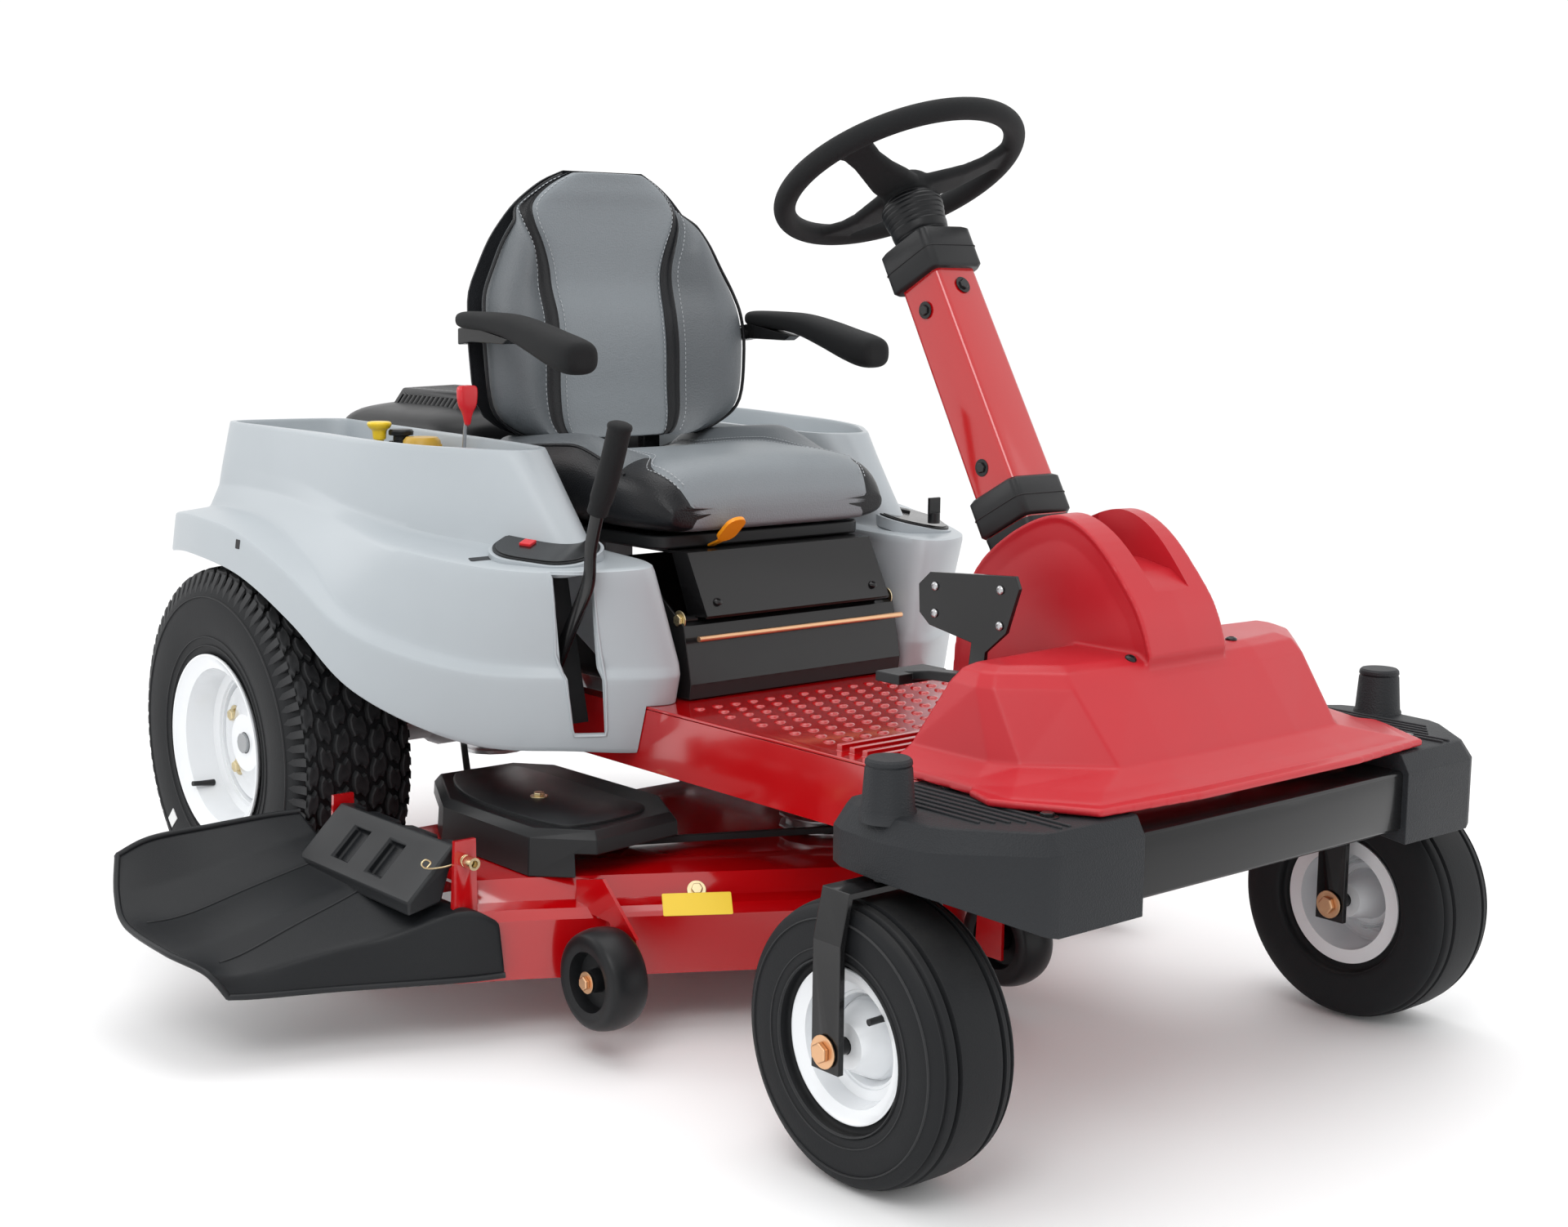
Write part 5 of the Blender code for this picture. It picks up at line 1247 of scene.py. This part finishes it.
def hood():
    body = loft([hood_ring(level) for level in HOOD_LEVELS])
    flange = [
        (-0.349, -1.378), (-0.366, -1.424), (-0.353, -1.452), (-0.304, -1.536), (-0.150, -1.551),
        (0.150, -1.551), (0.304, -1.536), (0.353, -1.452), (0.366, -1.424), (0.349, -1.378),
    ]
    lip = prism(flange, "z", 0.4275, 0.4365)
    shell = piece("hood_shape", merge(body, hood_dome(), lip), RED_MOULDED, "chassis", ("hood",))
    melted(shell)
    settle(shell)
    hollow = [(z - 0.006, half) for z, half in HOOD_LEVELS]
    hollow[0] = (0.40, hollow[0][1])
    carve(shell, [loft([hood_ring(level, 0.006) for level in hollow[:-1]])])
    carve(shell, [dome_slot()])
    carve(shell, [column_box(0.0470, -0.70, -0.40)])
    shaded(shell.data, 50)
    places = onto(shell, [(-0.097, -1.394, 0.70), (0.105, -1.384, 0.70)], (0, 0, -1))
    bolts("hood_screws", places, BLACK_PAINT, "chassis", 0.0075, 0.004, kind=cap_screw)
    folds = ((-0.590, 0.0440), (-0.565, 0.0425), (-0.550, 0.0445), (-0.535, 0.0425), (-0.524, 0.0430))
    boot = loft([[tuple(COLUMN @ Vector((x, y, z))) for x, y in rounded(-h, h, -h, h, 0.012)]
                 for z, h in folds])
    piece("column_boot", boot, BLACK_MOULDED, "chassis", sharp=50)


def column_box(half, low, high):
    outline = rounded(-half, half, -half, half, 0.012, 3)
    return loft([[tuple(COLUMN @ Vector((x, y, z))) for x, y in outline] for z in (low, high)])


# Round a bumper cap: x, y, the height of its hem and the height of its edge
CAP_PLAN = [
    (0.250, -1.554, 0.311, 0.406), (0.386, -1.554, 0.311, 0.406), (0.400, -1.548, 0.314, 0.406),
    (0.474, -1.466, 0.346, 0.402), (0.484, -1.445, 0.350, 0.401), (0.490, -1.385, 0.354, 0.400),
    (0.486, -1.315, 0.356, 0.400), (0.474, -1.290, 0.356, 0.400), (0.450, -1.272, 0.356, 0.401),
    (0.365, -1.262, 0.356, 0.402), (0.275, -1.262, 0.356, 0.402), (0.250, -1.264, 0.350, 0.404),
]
CAP_MIDDLE = (0.360, -1.405)
CAP_TOP = 0.425


def cap_rows():
    """Rings of a bumper cap, from the hem over a flat chamfer to the top."""
    rows = []
    for pull, rise in ((0.0, 0.0), (0.0, 0.96), (0.015, 1.0), (0.019, 1.0)):
        ring = []
        for x, y, hem, edge in CAP_PLAN:
            toward = Vector((CAP_MIDDLE[0] - x, CAP_MIDDLE[1] - y)).normalized() * pull
            near = x + toward.x if x > 0.262 else x
            z = hem + (edge - hem) * rise if rise < 1 else CAP_TOP - (0.0 if pull > 0.016 else 0.0015)
            ring.append((near, y + toward.y, z))
        rows.append(ring)
    return rows


def bumper_caps():
    for side_name, side in SIDES.items():
        points, faces = loft(cap_rows(), capped=False)
        size = len(CAP_PLAN)
        top = tuple(len(points) - size + k for k in range(size))
        cap = piece(f"cap_shape_{side_name}", flip((points, faces + [top]), side), CHARCOAL, "chassis",
                    (f"bumper_cap_{side_name}",), sharp=40, wall=0.0035, edges=0.0032,
                    segments=3)
        face_up(cap, CAP_TOP - 0.004)
        post = [(CAP_TOP - 0.010, 0.0325), (CAP_TOP + 0.002, 0.0318), (CAP_TOP + 0.005, 0.0300),
                (0.474, 0.0268), (0.4765, 0.0255), (0.4790, 0.0268), (0.4830, 0.0262), (0.4855, 0.0238)]
        piece(f"cap_post_{side_name}", spun(post, (side * 0.459, -1.363, 0), "z", 48), CHARCOAL, "chassis",
              sharp=35)
        ribs = []
        for k in range(6):
            low, high = sorted((side * (0.3500 + 0.0135 * k), side * (0.3545 + 0.0135 * k)))
            front = -1.515 + 0.010 * k if k > 1 else -1.535
            ribs.append(box((low, front, CAP_TOP - 0.002), (high, -1.285, CAP_TOP + 0.0028)))
        piece(f"cap_ribs_{side_name}", merge(*ribs), CHARCOAL, "chassis",
              edges=0.0014)
        heads = [((side * 0.3233, -1.3265, CAP_TOP), (0, 0, 1)),
                 ((side * 0.3400, -1.490, CAP_TOP), (0, 0, 1))]
        bolts(f"cap_bolts_{side_name}", heads, BLACK_PAINT, "chassis", 0.0085, 0.006)


def foot_area():
    refined("foot_pan", RED_PAINT, "chassis", 0.0012)
    bumps = []
    floor = 0.4096
    for row in range(9):
        for column in range(15):
            x = -0.224 + 0.032 * column + 0.016 * (row % 2)
            y = -1.000 + 0.034 * row
            if abs(x) < 0.235 and not (-0.215 < x < -0.095 and -1.10 < y < -1.03):
                bumps.append(spun([(floor, 0.0085), (floor + 0.0016, 0.0072), (floor + 0.0026, 0.0046)],
                                  (x, y, 0), "z", 16))
    piece("foot_pan_bumps", merge(*bumps), RED_PAINT, "chassis", sharp=50)
    refined("forward_pedal", BLACK_PAINT, "forward_pedal", 0.0012)
    refined("reverse_pedal", BLACK_MOULDED, "reverse_pedal", 0.0030)
    refined("front_beam", BLACK_PAINT, "chassis", 0.0015)
    refined("main_frame", RED_PAINT, "chassis", 0.0025)
    places = [((-0.1845, y, z), (-1, 0, 0))
              for y, z in ((-1.150, 0.628), (-1.262, 0.636), (-1.150, 0.594), (-1.262, 0.592))]
    bolts("pedal_screws", places, STEEL, "forward_pedal", 0.0058, 0.0035, kind=cap_screw)


# ---------------------------------------------------------------- controls and power unit


def controls():
    for side_name, side in SIDES.items():
        panel(side_name, side)
    refined("ignition_key", BLACK_MOULDED, "ignition_key", 0.0012)
    knob = through([(TUB_FLOOR + 0.0006, 0.0055), (0.745, 0.0060), (0.752, 0.0100), (0.764, 0.0115),
                    (0.769, 0.0165), (0.774, 0.0190), (0.778, 0.0170), (0.779, 0.0080)], 30)
    piece("pto_knob_shape", spun(knob, (-0.355, -0.085, 0), "z", 32), YELLOW, "pto_knob", ("pto_knob",))
    lever = swept([(-0.285, -0.215, TUB_FLOOR + 0.0024), (-0.285, -0.222, 0.770), (-0.285, -0.230, 0.800)],
                  0.0030, 12)
    piece("throttle_rod", lever, STEEL, "throttle", ("throttle_lever",), sharp=60)
    rings = []
    for z, half, deep in ((0.776, 0.0048, 0.0045), (0.794, 0.0060, 0.0050), (0.802, 0.0110, 0.0065),
                          (0.810, 0.0160, 0.0075), (0.834, 0.0175, 0.0075), (0.840, 0.0150, 0.0060)):
        rings.append([(-0.285 + x, -0.2295 + y, z)
                      for x, y in rounded(-half, half, -deep, deep, deep * 0.7, 4)])
    piece("throttle_grip", loft(rings), RED_KNOB, "throttle", smooth=1, sharp=70)
    cap = [(TUB_FLOOR + 0.0006, 0.029), (0.742, 0.030), (0.752, 0.0285), (0.757, 0.024)]
    piece("fuel_cap_shape", spun(cap, (-0.318, -0.150, 0), "z", 48), MUSTARD, "fuel_cap", ("fuel_cap",))
    grips = [moved(box((-0.0012, 0.0285, TUB_FLOOR + 0.006), (0.0012, 0.0310, 0.746)),
                   Matrix.Translation((-0.318, -0.150, 0)) @ Matrix.Rotation(math.pi * k / 14, 4, "Z"))
             for k in range(28)]
    piece("fuel_cap_grips", merge(*grips), MUSTARD, "fuel_cap")
    choke = [(TUB_FLOOR, 0.010), (0.744, 0.010), (0.745, 0.0185), (0.749, 0.0190), (0.750, 0.0125),
             (0.757, 0.0120), (0.758, 0.0190), (0.764, 0.0195), (0.767, 0.0170)]
    piece("tray_knob", spun(choke, (-0.330, -0.108, 0), "z", 32), BLACK_MOULDED, "chassis", sharp=35,
          edges=0.0006)
    lift_lever()


def panel(side_name, side):
    """A glossy oval plate on the fender's front shoulder, tipped up towards the rider's feet."""
    turn = Matrix.Translation((side * 0.352, -0.540, 0.6265)) @ tilt(10, "X")
    turn = turn @ tilt(side * 8, "Y") @ tilt(side * -30, "Z")
    plates = (
        ("plinth", GREY_MOULDED, 0.004, -0.018, -0.001, "grey_plastic"),
        ("rim", BLACK_MOULDED, 0.0, -0.004, 0.0018, "black_plastic"),
        ("face", BLACK_PAINT, -0.0035, 0.0018, 0.0032, "black_plastic"),
    )
    for kind, material, grow, low, high, slot in plates:
        outline = rounded(-0.060 - grow, 0.060 + grow, -0.074 - grow, 0.074 + grow, 0.050, 10)
        shape = moved(prism(outline, "z", low, high), turn)
        replaced = (f"control_panel_{side_name}",) if kind == "rim" else ()
        piece(f"panel_{kind}_{side_name}", shape, material, "chassis", replaced, edges=0.0007)
    rocker = moved(box((-0.014, 0.018, 0.0025), (0.006, 0.036, 0.0072)), turn)
    piece(f"panel_switch_{side_name}", rocker, RED_KNOB if side < 0 else BLACK_MOULDED, "chassis",
          edges=0.0012)


def lift_lever():
    path = through([
        (-0.360, -0.560, 0.440), (-0.364, -0.615, 0.520), (-0.368, -0.664, 0.590),
        (-0.366, -0.668, 0.640), (-0.360, -0.680, 0.700),
    ], 24)
    rings = []
    for x, y, z in path:
        rings.append([(x + a, y + b * 0.85, z + b * 0.5)
                      for a, b in rounded(-0.0045, 0.0045, -0.0115, 0.0115, 0.003, 3)])
    piece("lift_lever_strap", loft(rings), BLACK_PAINT, "lift_lever", ("lift_lever",),
          sharp=50)
    spine = through([(-0.360, -0.6745, 0.688), (-0.360, -0.702, 0.745), (-0.360, -0.722, 0.795),
                     (-0.360, -0.728, 0.814)], 22)
    radii = [0.0145] * 3 + [0.0162] * 14 + [0.0172, 0.0172, 0.0160, 0.0125, 0.0065]
    piece("lift_lever_grip", swept(spine, radii, 24), FOAM, "lift_lever", sharp=70)
    pivot = spun([(-0.362, 0.014), (-0.322, 0.014)], (0, -0.560, 0.440), "x", 24)
    piece("lift_lever_pivot", pivot, ZINC, "lift_lever", sharp=50, edges=0.001)


def power_unit():
    refined("engine_block", ALUMINIUM, "chassis", 0.004)
    refined("fuel_tank", BLACK_MOULDED, "chassis", 0.006)
    refined("rear_guard", BLACK_PAINT, "chassis", 0.0)
    refined("engine_drum", STEEL, "engine_drum", 0.0008)
    refined("drive_belt", TYRE, "deck", 0.0008)
    for side_name, side in SIDES.items():
        refined(f"transaxle_{side_name}", ALUMINIUM, "chassis", 0.002)
    for name in ("right", "centre", "left"):
        refined(f"spindle_{name}", STEEL, f"spindle_{name}", 0.0008)
    fins = []
    for side in (-1, 1):
        for k in range(5):
            y = 0.052 + 0.026 * k
            low, high = sorted((side * 0.160, side * 0.2265))
            fins.append(box((low, y, 0.468), (high, y + 0.004, 0.5845)))
    piece("engine_fins", merge(*fins), ALUMINIUM, "chassis", edges=0.001)
    engine_cover()


LOUVRES, LOUVRE_PITCH, LOUVRE_GAP = 13, 0.0145, 0.006


def engine_cover():
    """The moulded shroud over the engine, with a raised louvred block on each side of its crown."""
    levels = [
        (0.5606, 0.213, -0.058, 0.328, 0.060), (0.600, 0.219, -0.068, 0.338, 0.065),
        (0.690, 0.220, -0.072, 0.342, 0.070), (0.748, 0.216, -0.066, 0.336, 0.072),
        (0.772, 0.200, -0.048, 0.318, 0.076), (0.784, 0.168, -0.016, 0.284, 0.080),
        (0.790, 0.130, 0.014, 0.244, 0.080), (0.792, 0.096, 0.040, 0.214, 0.070),
    ]
    line = through(levels, 26)
    rings = [[(x, y, z) for x, y in rounded(-half, half, front, rear, corner, 8)]
             for z, half, front, rear, corner in line]
    cover = piece("engine_cover_shape", loft(rings), BLACK_MOULDED, "chassis", ("engine_cover",),
                  sharp=50)
    carve(cover, [box((low, 0.036, 0.540), (high, 0.174, 0.589))
                  for low, high in ((-0.233, -0.136), (0.136, 0.233))])
    for side_name, side in SIDES.items():
        slope = [(side * 0.158, 0.772), (side * 0.128, 0.8120), (side * 0.020, 0.8150),
                 (side * 0.020, 0.772)]
        block = piece(f"engine_louvre_{side_name}", prism(slope, "y", 0.020, 0.230), BLACK_MOULDED,
                      "chassis", edges=0.004)
        settle(block)
        for inner, outer, low, high in ((0.034, 0.118, 0.8085, 0.830), (0.132, 0.160, 0.780, 0.8015)):
            near, far = sorted((side * inner, side * outer))
            places = (0.036 + LOUVRE_PITCH * k for k in range(LOUVRES))
            carve(block, [box((near, y, low), (far, y + LOUVRE_GAP, high)) for y in places])


# ---------------------------------------------------------------- deck

CHUTE_PIVOT = (-0.590, 0.247)
# Rows of the deflector's skin from its front hem to the rear, each from the hinge outwards
CHUTE_ROWS = [
    [(-0.554, -0.737, 0.0945), (-0.600, -0.716, 0.092), (-0.680, -0.679, 0.092), (-0.760, -0.645, 0.093),
     (-0.850, -0.622, 0.097), (-0.886, -0.611, 0.100)],
    [(-0.560, -0.7335, 0.168), (-0.600, -0.716, 0.186), (-0.680, -0.664, 0.155), (-0.760, -0.636, 0.141),
     (-0.857, -0.604, 0.124), (-0.910, -0.598, 0.134)],
    [(-0.625, -0.530, 0.200), (-0.650, -0.530, 0.193), (-0.680, -0.530, 0.187), (-0.760, -0.530, 0.170),
     (-0.857, -0.530, 0.149), (-0.932, -0.530, 0.147)],
    [(-0.625, -0.415, 0.204), (-0.650, -0.415, 0.197), (-0.680, -0.415, 0.191), (-0.760, -0.415, 0.174),
     (-0.857, -0.415, 0.153), (-0.934, -0.415, 0.156)],
    [(-0.625, -0.360, 0.222), (-0.650, -0.360, 0.218), (-0.680, -0.360, 0.214), (-0.760, -0.360, 0.202),
     (-0.857, -0.360, 0.186), (-0.922, -0.360, 0.184)],
    [(-0.630, -0.322, 0.245), (-0.650, -0.318, 0.2445), (-0.680, -0.314, 0.244), (-0.760, -0.310, 0.241),
     (-0.850, -0.310, 0.238), (-0.898, -0.310, 0.222)],
]


def chute_rows():
    """The deflector's skin: folds stay tight along its length, while its outer edge runs in one curve."""
    wide = [np.array(through(row, 22)) for row in CHUTE_ROWS]
    steps = [0.0, 0.12, 0.35, 0.62, 0.88]
    places = [i + t for i in range(len(wide) - 1) for t in steps] + [len(wide) - 1.0]
    edge = np.array(through([row[-1] for row in wide], 200))
    rows = []
    for place in places:
        i = min(int(place), len(wide) - 2)
        row = wide[i] + (wide[i + 1] - wide[i]) * (place - i)
        target = edge[min(int(place / (len(wide) - 1) * 199), 199)]
        pull = np.linspace(0, 1, len(row)) ** 3
        rows.append(row + np.outer(pull, target - row[-1]))
    return [[tuple(float(v) for v in p) for p in row] for row in rows]


def chute():
    rows = chute_rows()
    skin = piece("chute_shape", sheet(rows), BLACK_CHUTE, "chute", ("chute",), sharp=60,
                 wall=0.0045, smooth=1)
    face_up(skin)
    border = [rows[0][k] for k in range(22)] + [row[-1] for row in rows[1:]] + [rows[-1][k]
                                                                                for k in range(20, -1, -1)]
    bead("chute_rim", through(border, 120), 0.0042, BLACK_CHUTE, "chute")
    for i, (start, end) in enumerate((((-0.905, -0.415), (-0.660, -0.415)),
                                      ((-0.880, -0.575), (-0.640, -0.548)))):
        line = [(start[0] + (end[0] - start[0]) * t / 30, start[1] + (end[1] - start[1]) * t / 30, 0.40)
                for t in range(31)]
        landed = [place for place, _ in onto(skin, line, (0, 0, -1))]
        bead(f"chute_line_{i}", landed, 0.0016, BLACK_CHUTE, "chute")
    hinge_box()


def hinge_box():
    hinge = [
        (-0.576, 0.236), (-0.576, 0.262), (-0.600, 0.266), (-0.668, 0.200), (-0.668, 0.182),
        (-0.618, 0.192), (-0.604, 0.236),
    ]
    block = piece("chute_hinge", prism(hinge, "y", -0.685, -0.386), BLACK_CHUTE, "chute")
    pockets = []
    for y in (-0.592, -0.500):
        pockets.append(prism([(-0.6086, 0.2409), (-0.6240, 0.2567), (-0.6610, 0.2202), (-0.6456, 0.2044)],
                             "y", y, y + 0.040))
    knuckles = [box((-0.592, y, 0.250), (-0.560, y + 0.030, 0.290)) for y in (-0.640, -0.545, -0.450)]
    carve(block, [merge(*pockets)])
    carve(block, [merge(*knuckles)])
    step = block.modifiers.new("edges", "BEVEL")
    step.width = 0.0035
    step.segments = 2
    step.limit_method = "ANGLE"
    refined("chute_rod", ZINC, "deck", 0.0)
    x, z = CHUTE_PIVOT
    sleeve = [(-0.722, 0.0050), (-0.722, 0.0085), (-0.7055, 0.0085), (-0.7055, 0.0050)]
    piece("chute_rod_sleeve", turned(sleeve, (x, 0, z), "y", 32), ZINC, "deck", sharp=40)
    coil = []
    for k in range(60):
        t = 2 * math.pi * k / 20
        coil.append((x + 0.0075 * math.cos(t), -0.7045 + 0.00018 * k, z + 0.0075 * math.sin(t)))
    tail = [(x - 0.012, -0.692, z - 0.004), (x - 0.030, -0.690, z - 0.006), (x - 0.052, -0.689, z - 0.004),
            (x - 0.060, -0.689, z + 0.003), (x - 0.054, -0.689, z + 0.008), (x - 0.046, -0.689, z + 0.003),
            (x - 0.052, -0.689, z - 0.003)]
    piece("chute_spring", swept(coil + through(tail, 24), 0.0012, 8), ZINC, "deck", sharp=60)


def deck():
    shell = refined("deck_shell", RED_PAINT, "deck", 0.0030)
    places = []
    for x, y in ((-0.540, -0.610), (-0.545, -0.420), (0.540, -0.610), (0.545, -0.420), (-0.300, -0.820),
                 (0.300, -0.820)):
        places += [(p, n) for p, n in onto(shell, [(x, y, 0.300)], (0, 0, -1)) if p[2] > 0.17]
    bolts("deck_bolts", places, ZINC, "deck", 0.0085, 0.009)
    for side_name, side in SIDES.items():
        belt_cover(side_name, side)
    for place, normal in onto(shell, [(-0.318, -0.845, 0.300)], (0, 0, -1)):
        turn = facing(normal, place) @ tilt(-31, "Z")
        plain = moved(prism(rounded(-0.047, 0.047, -0.017, 0.017, 0.002), "z", 0.0, 0.0005), turn)
        piece("deck_label", plain, LABEL, "deck")


def belt_cover(side_name, side):
    """A domed plastic cover over the outer pulley, with a recessed window in its outer face."""
    refined(f"belt_cover_{side_name}", BLACK_MOULDED, "deck", 0.0055)
    ridge = [(0.300, -0.700), (0.410, -0.722), (0.452, -0.676), (0.452, -0.488), (0.394, -0.360),
             (0.318, -0.362), (0.290, -0.400), (0.286, -0.620)]
    outline = through(ridge, 60, ring=True)
    shape = loft([[(side * x, y, z) for x, y in inset(outline, d)]
                  for d, z in ((0, 0.2680), (0.0, 0.2735), (0.003, 0.2752))])
    piece(f"belt_cover_crown_{side_name}", shape, BLACK_MOULDED, "deck", sharp=50)
    knob = (side * 0.380, -0.560, 0.2752)
    bolts(f"belt_cover_bolt_{side_name}", [(knob, (0, 0, 1))], ZINC, "deck", 0.0085, 0.007)


def seat_frame():
    refined("seat_base", BLACK_PAINT, "chassis", 0.0015)
    refined("seat_plate", BLACK_PAINT, "seat_plate", 0.0010)
    tab = rounded(-0.0165, 0.0165, -0.026, 0.026, 0.015, 6)
    turn = Matrix.Translation((-0.108, -0.652, 0.6475)) @ tilt(-42, "X")
    paddle = moved(prism(tab, "z", -0.0028, 0.0028), turn)
    stalk = loft([
        [(x - 0.108, y, z) for x, z in rounded(-0.007, 0.007, low, low + 0.004, 0.0015, 2)]
        for y, low in ((-0.606, 0.6180), (-0.634, 0.6290), (-0.646, 0.6400))
    ])
    piece("seat_lever_tab", merge(paddle, stalk), ORANGE, "seat_lever", ("seat_lever",),
          edges=0.0012)
    places = [((side * 0.1992, -0.651, 0.523), (side, 0, 0)) for side in (-1, 1)]
    bolts("seat_pivot_bolts", places, ZINC, "seat_plate", 0.009, 0.007)
    rod = [(-0.196, -0.690, 0.500), (0.196, -0.690, 0.500)]
    piece("seat_front_rod", swept([rod[0], (0, -0.690, 0.500), rod[1]], 0.0042, 16), COPPER, "chassis",
          sharp=60)
    slope = Vector((0, -0.086, -0.047)).normalized()
    face = Vector((0, slope.z, -slope.y)).normalized()
    screws = [((side * 0.150, -0.6745, 0.548), tuple(face if face.y < 0 else -face)) for side in (-1, 1)]
    bolts("seat_plate_screws", screws, BLACK_PAINT, "seat_plate", 0.0075, 0.004, kind=cap_screw)


# ---------------------------------------------------------------- stage


def floor_and_light():
    ground = bpy.data.materials.new("floor")
    ground.use_nodes = True
    tree = ground.node_tree
    shader = tree.nodes["Principled BSDF"]
    shader.inputs["Roughness"].default_value = 0.55
    cloud = node(tree, "ShaderNodeTexNoise", Scale=1.5, Detail=2.0)
    pale = mixed(tree, cloud.outputs["Fac"], (0.93, 0.93, 0.935, 1), (0.96, 0.96, 0.96, 1))
    tree.links.new(pale, shader.inputs["Base Color"])
    mesh = bpy.data.meshes.new("floor")
    mesh.from_pydata([(-30, -30, 0), (30, -30, 0), (30, 30, 0), (-30, 30, 0)], [], [(0, 1, 2, 3)])
    mesh.materials.append(ground)
    plane = placed("floor", mesh)
    plane.location.z = -0.0005
    world = bpy.data.worlds.new("room")
    bpy.context.scene.world = world
    world.use_nodes = True
    world.node_tree.nodes["Background"].inputs["Color"].default_value = (1.0, 1.0, 1.0, 1)
    world.node_tree.nodes["Background"].inputs["Strength"].default_value = 1.07
    softbox("key", (-2.6, -2.2, 3.4), (0, -0.2, 0.5), 1.8, 42)
    softbox("top", (0.4, 0.2, 4.2), (0, 0, 0.4), 3.0, 42)
    softbox("fill", (3.2, -3.0, 1.8), (0, -0.2, 0.5), 2.4, 10)
    softbox("rim", (-2.4, 3.0, 2.6), (0, 0, 0.6), 2.2, 22)


def softbox(name, at, target, size, power):
    light = bpy.data.lights.new(name, "AREA")
    light.shape = "SQUARE"
    light.size = size
    light.energy = power
    lamp = placed(name, light)
    back = (Vector(at) - Vector(target)).normalized()
    turn = Vector((0, 0, 1)).rotation_difference(back).to_matrix().to_4x4()
    lamp.matrix_world = Matrix.Translation(Vector(at)) @ turn


def camera():
    """The photograph's view: about 40 degrees round to the machine's right, and a little above it."""
    azimuth, elevation, roll = math.radians(-39.957), math.radians(8.5258), math.radians(0.5686)
    target = Vector((0, -0.6, 0.5227))
    distance = 3.2401
    back = Vector((
        math.sin(azimuth) * math.cos(elevation), -math.cos(azimuth) * math.cos(elevation),
        math.sin(elevation),
    ))
    right = (-back).cross(Vector((0, 0, 1))).normalized()
    up = right.cross(-back)
    turned_right = math.cos(roll) * right + math.sin(roll) * up
    turned_up = -math.sin(roll) * right + math.cos(roll) * up
    lens = bpy.data.cameras.new("camera")
    lens.sensor_width = 36
    lens.lens = 49.66
    lens.shift_x = 0.0123
    lens.shift_y = -0.0062
    eye = placed("camera", lens)
    eye.matrix_world = Matrix.Translation(target + back * distance + ORIGIN) @ Matrix(
        (turned_right, turned_up, back)
    ).transposed().to_4x4()
    bpy.context.scene.camera = eye
    bpy.context.scene.view_settings.view_transform = "Standard"


wheels()
fenders()
seat_back()
seat_shell()
seat_cushion()
armrests()
seat_frame()
steering()
hood()
bumper_caps()
foot_area()
controls()
power_unit()
deck()
chute()
floor_and_light()
camera()
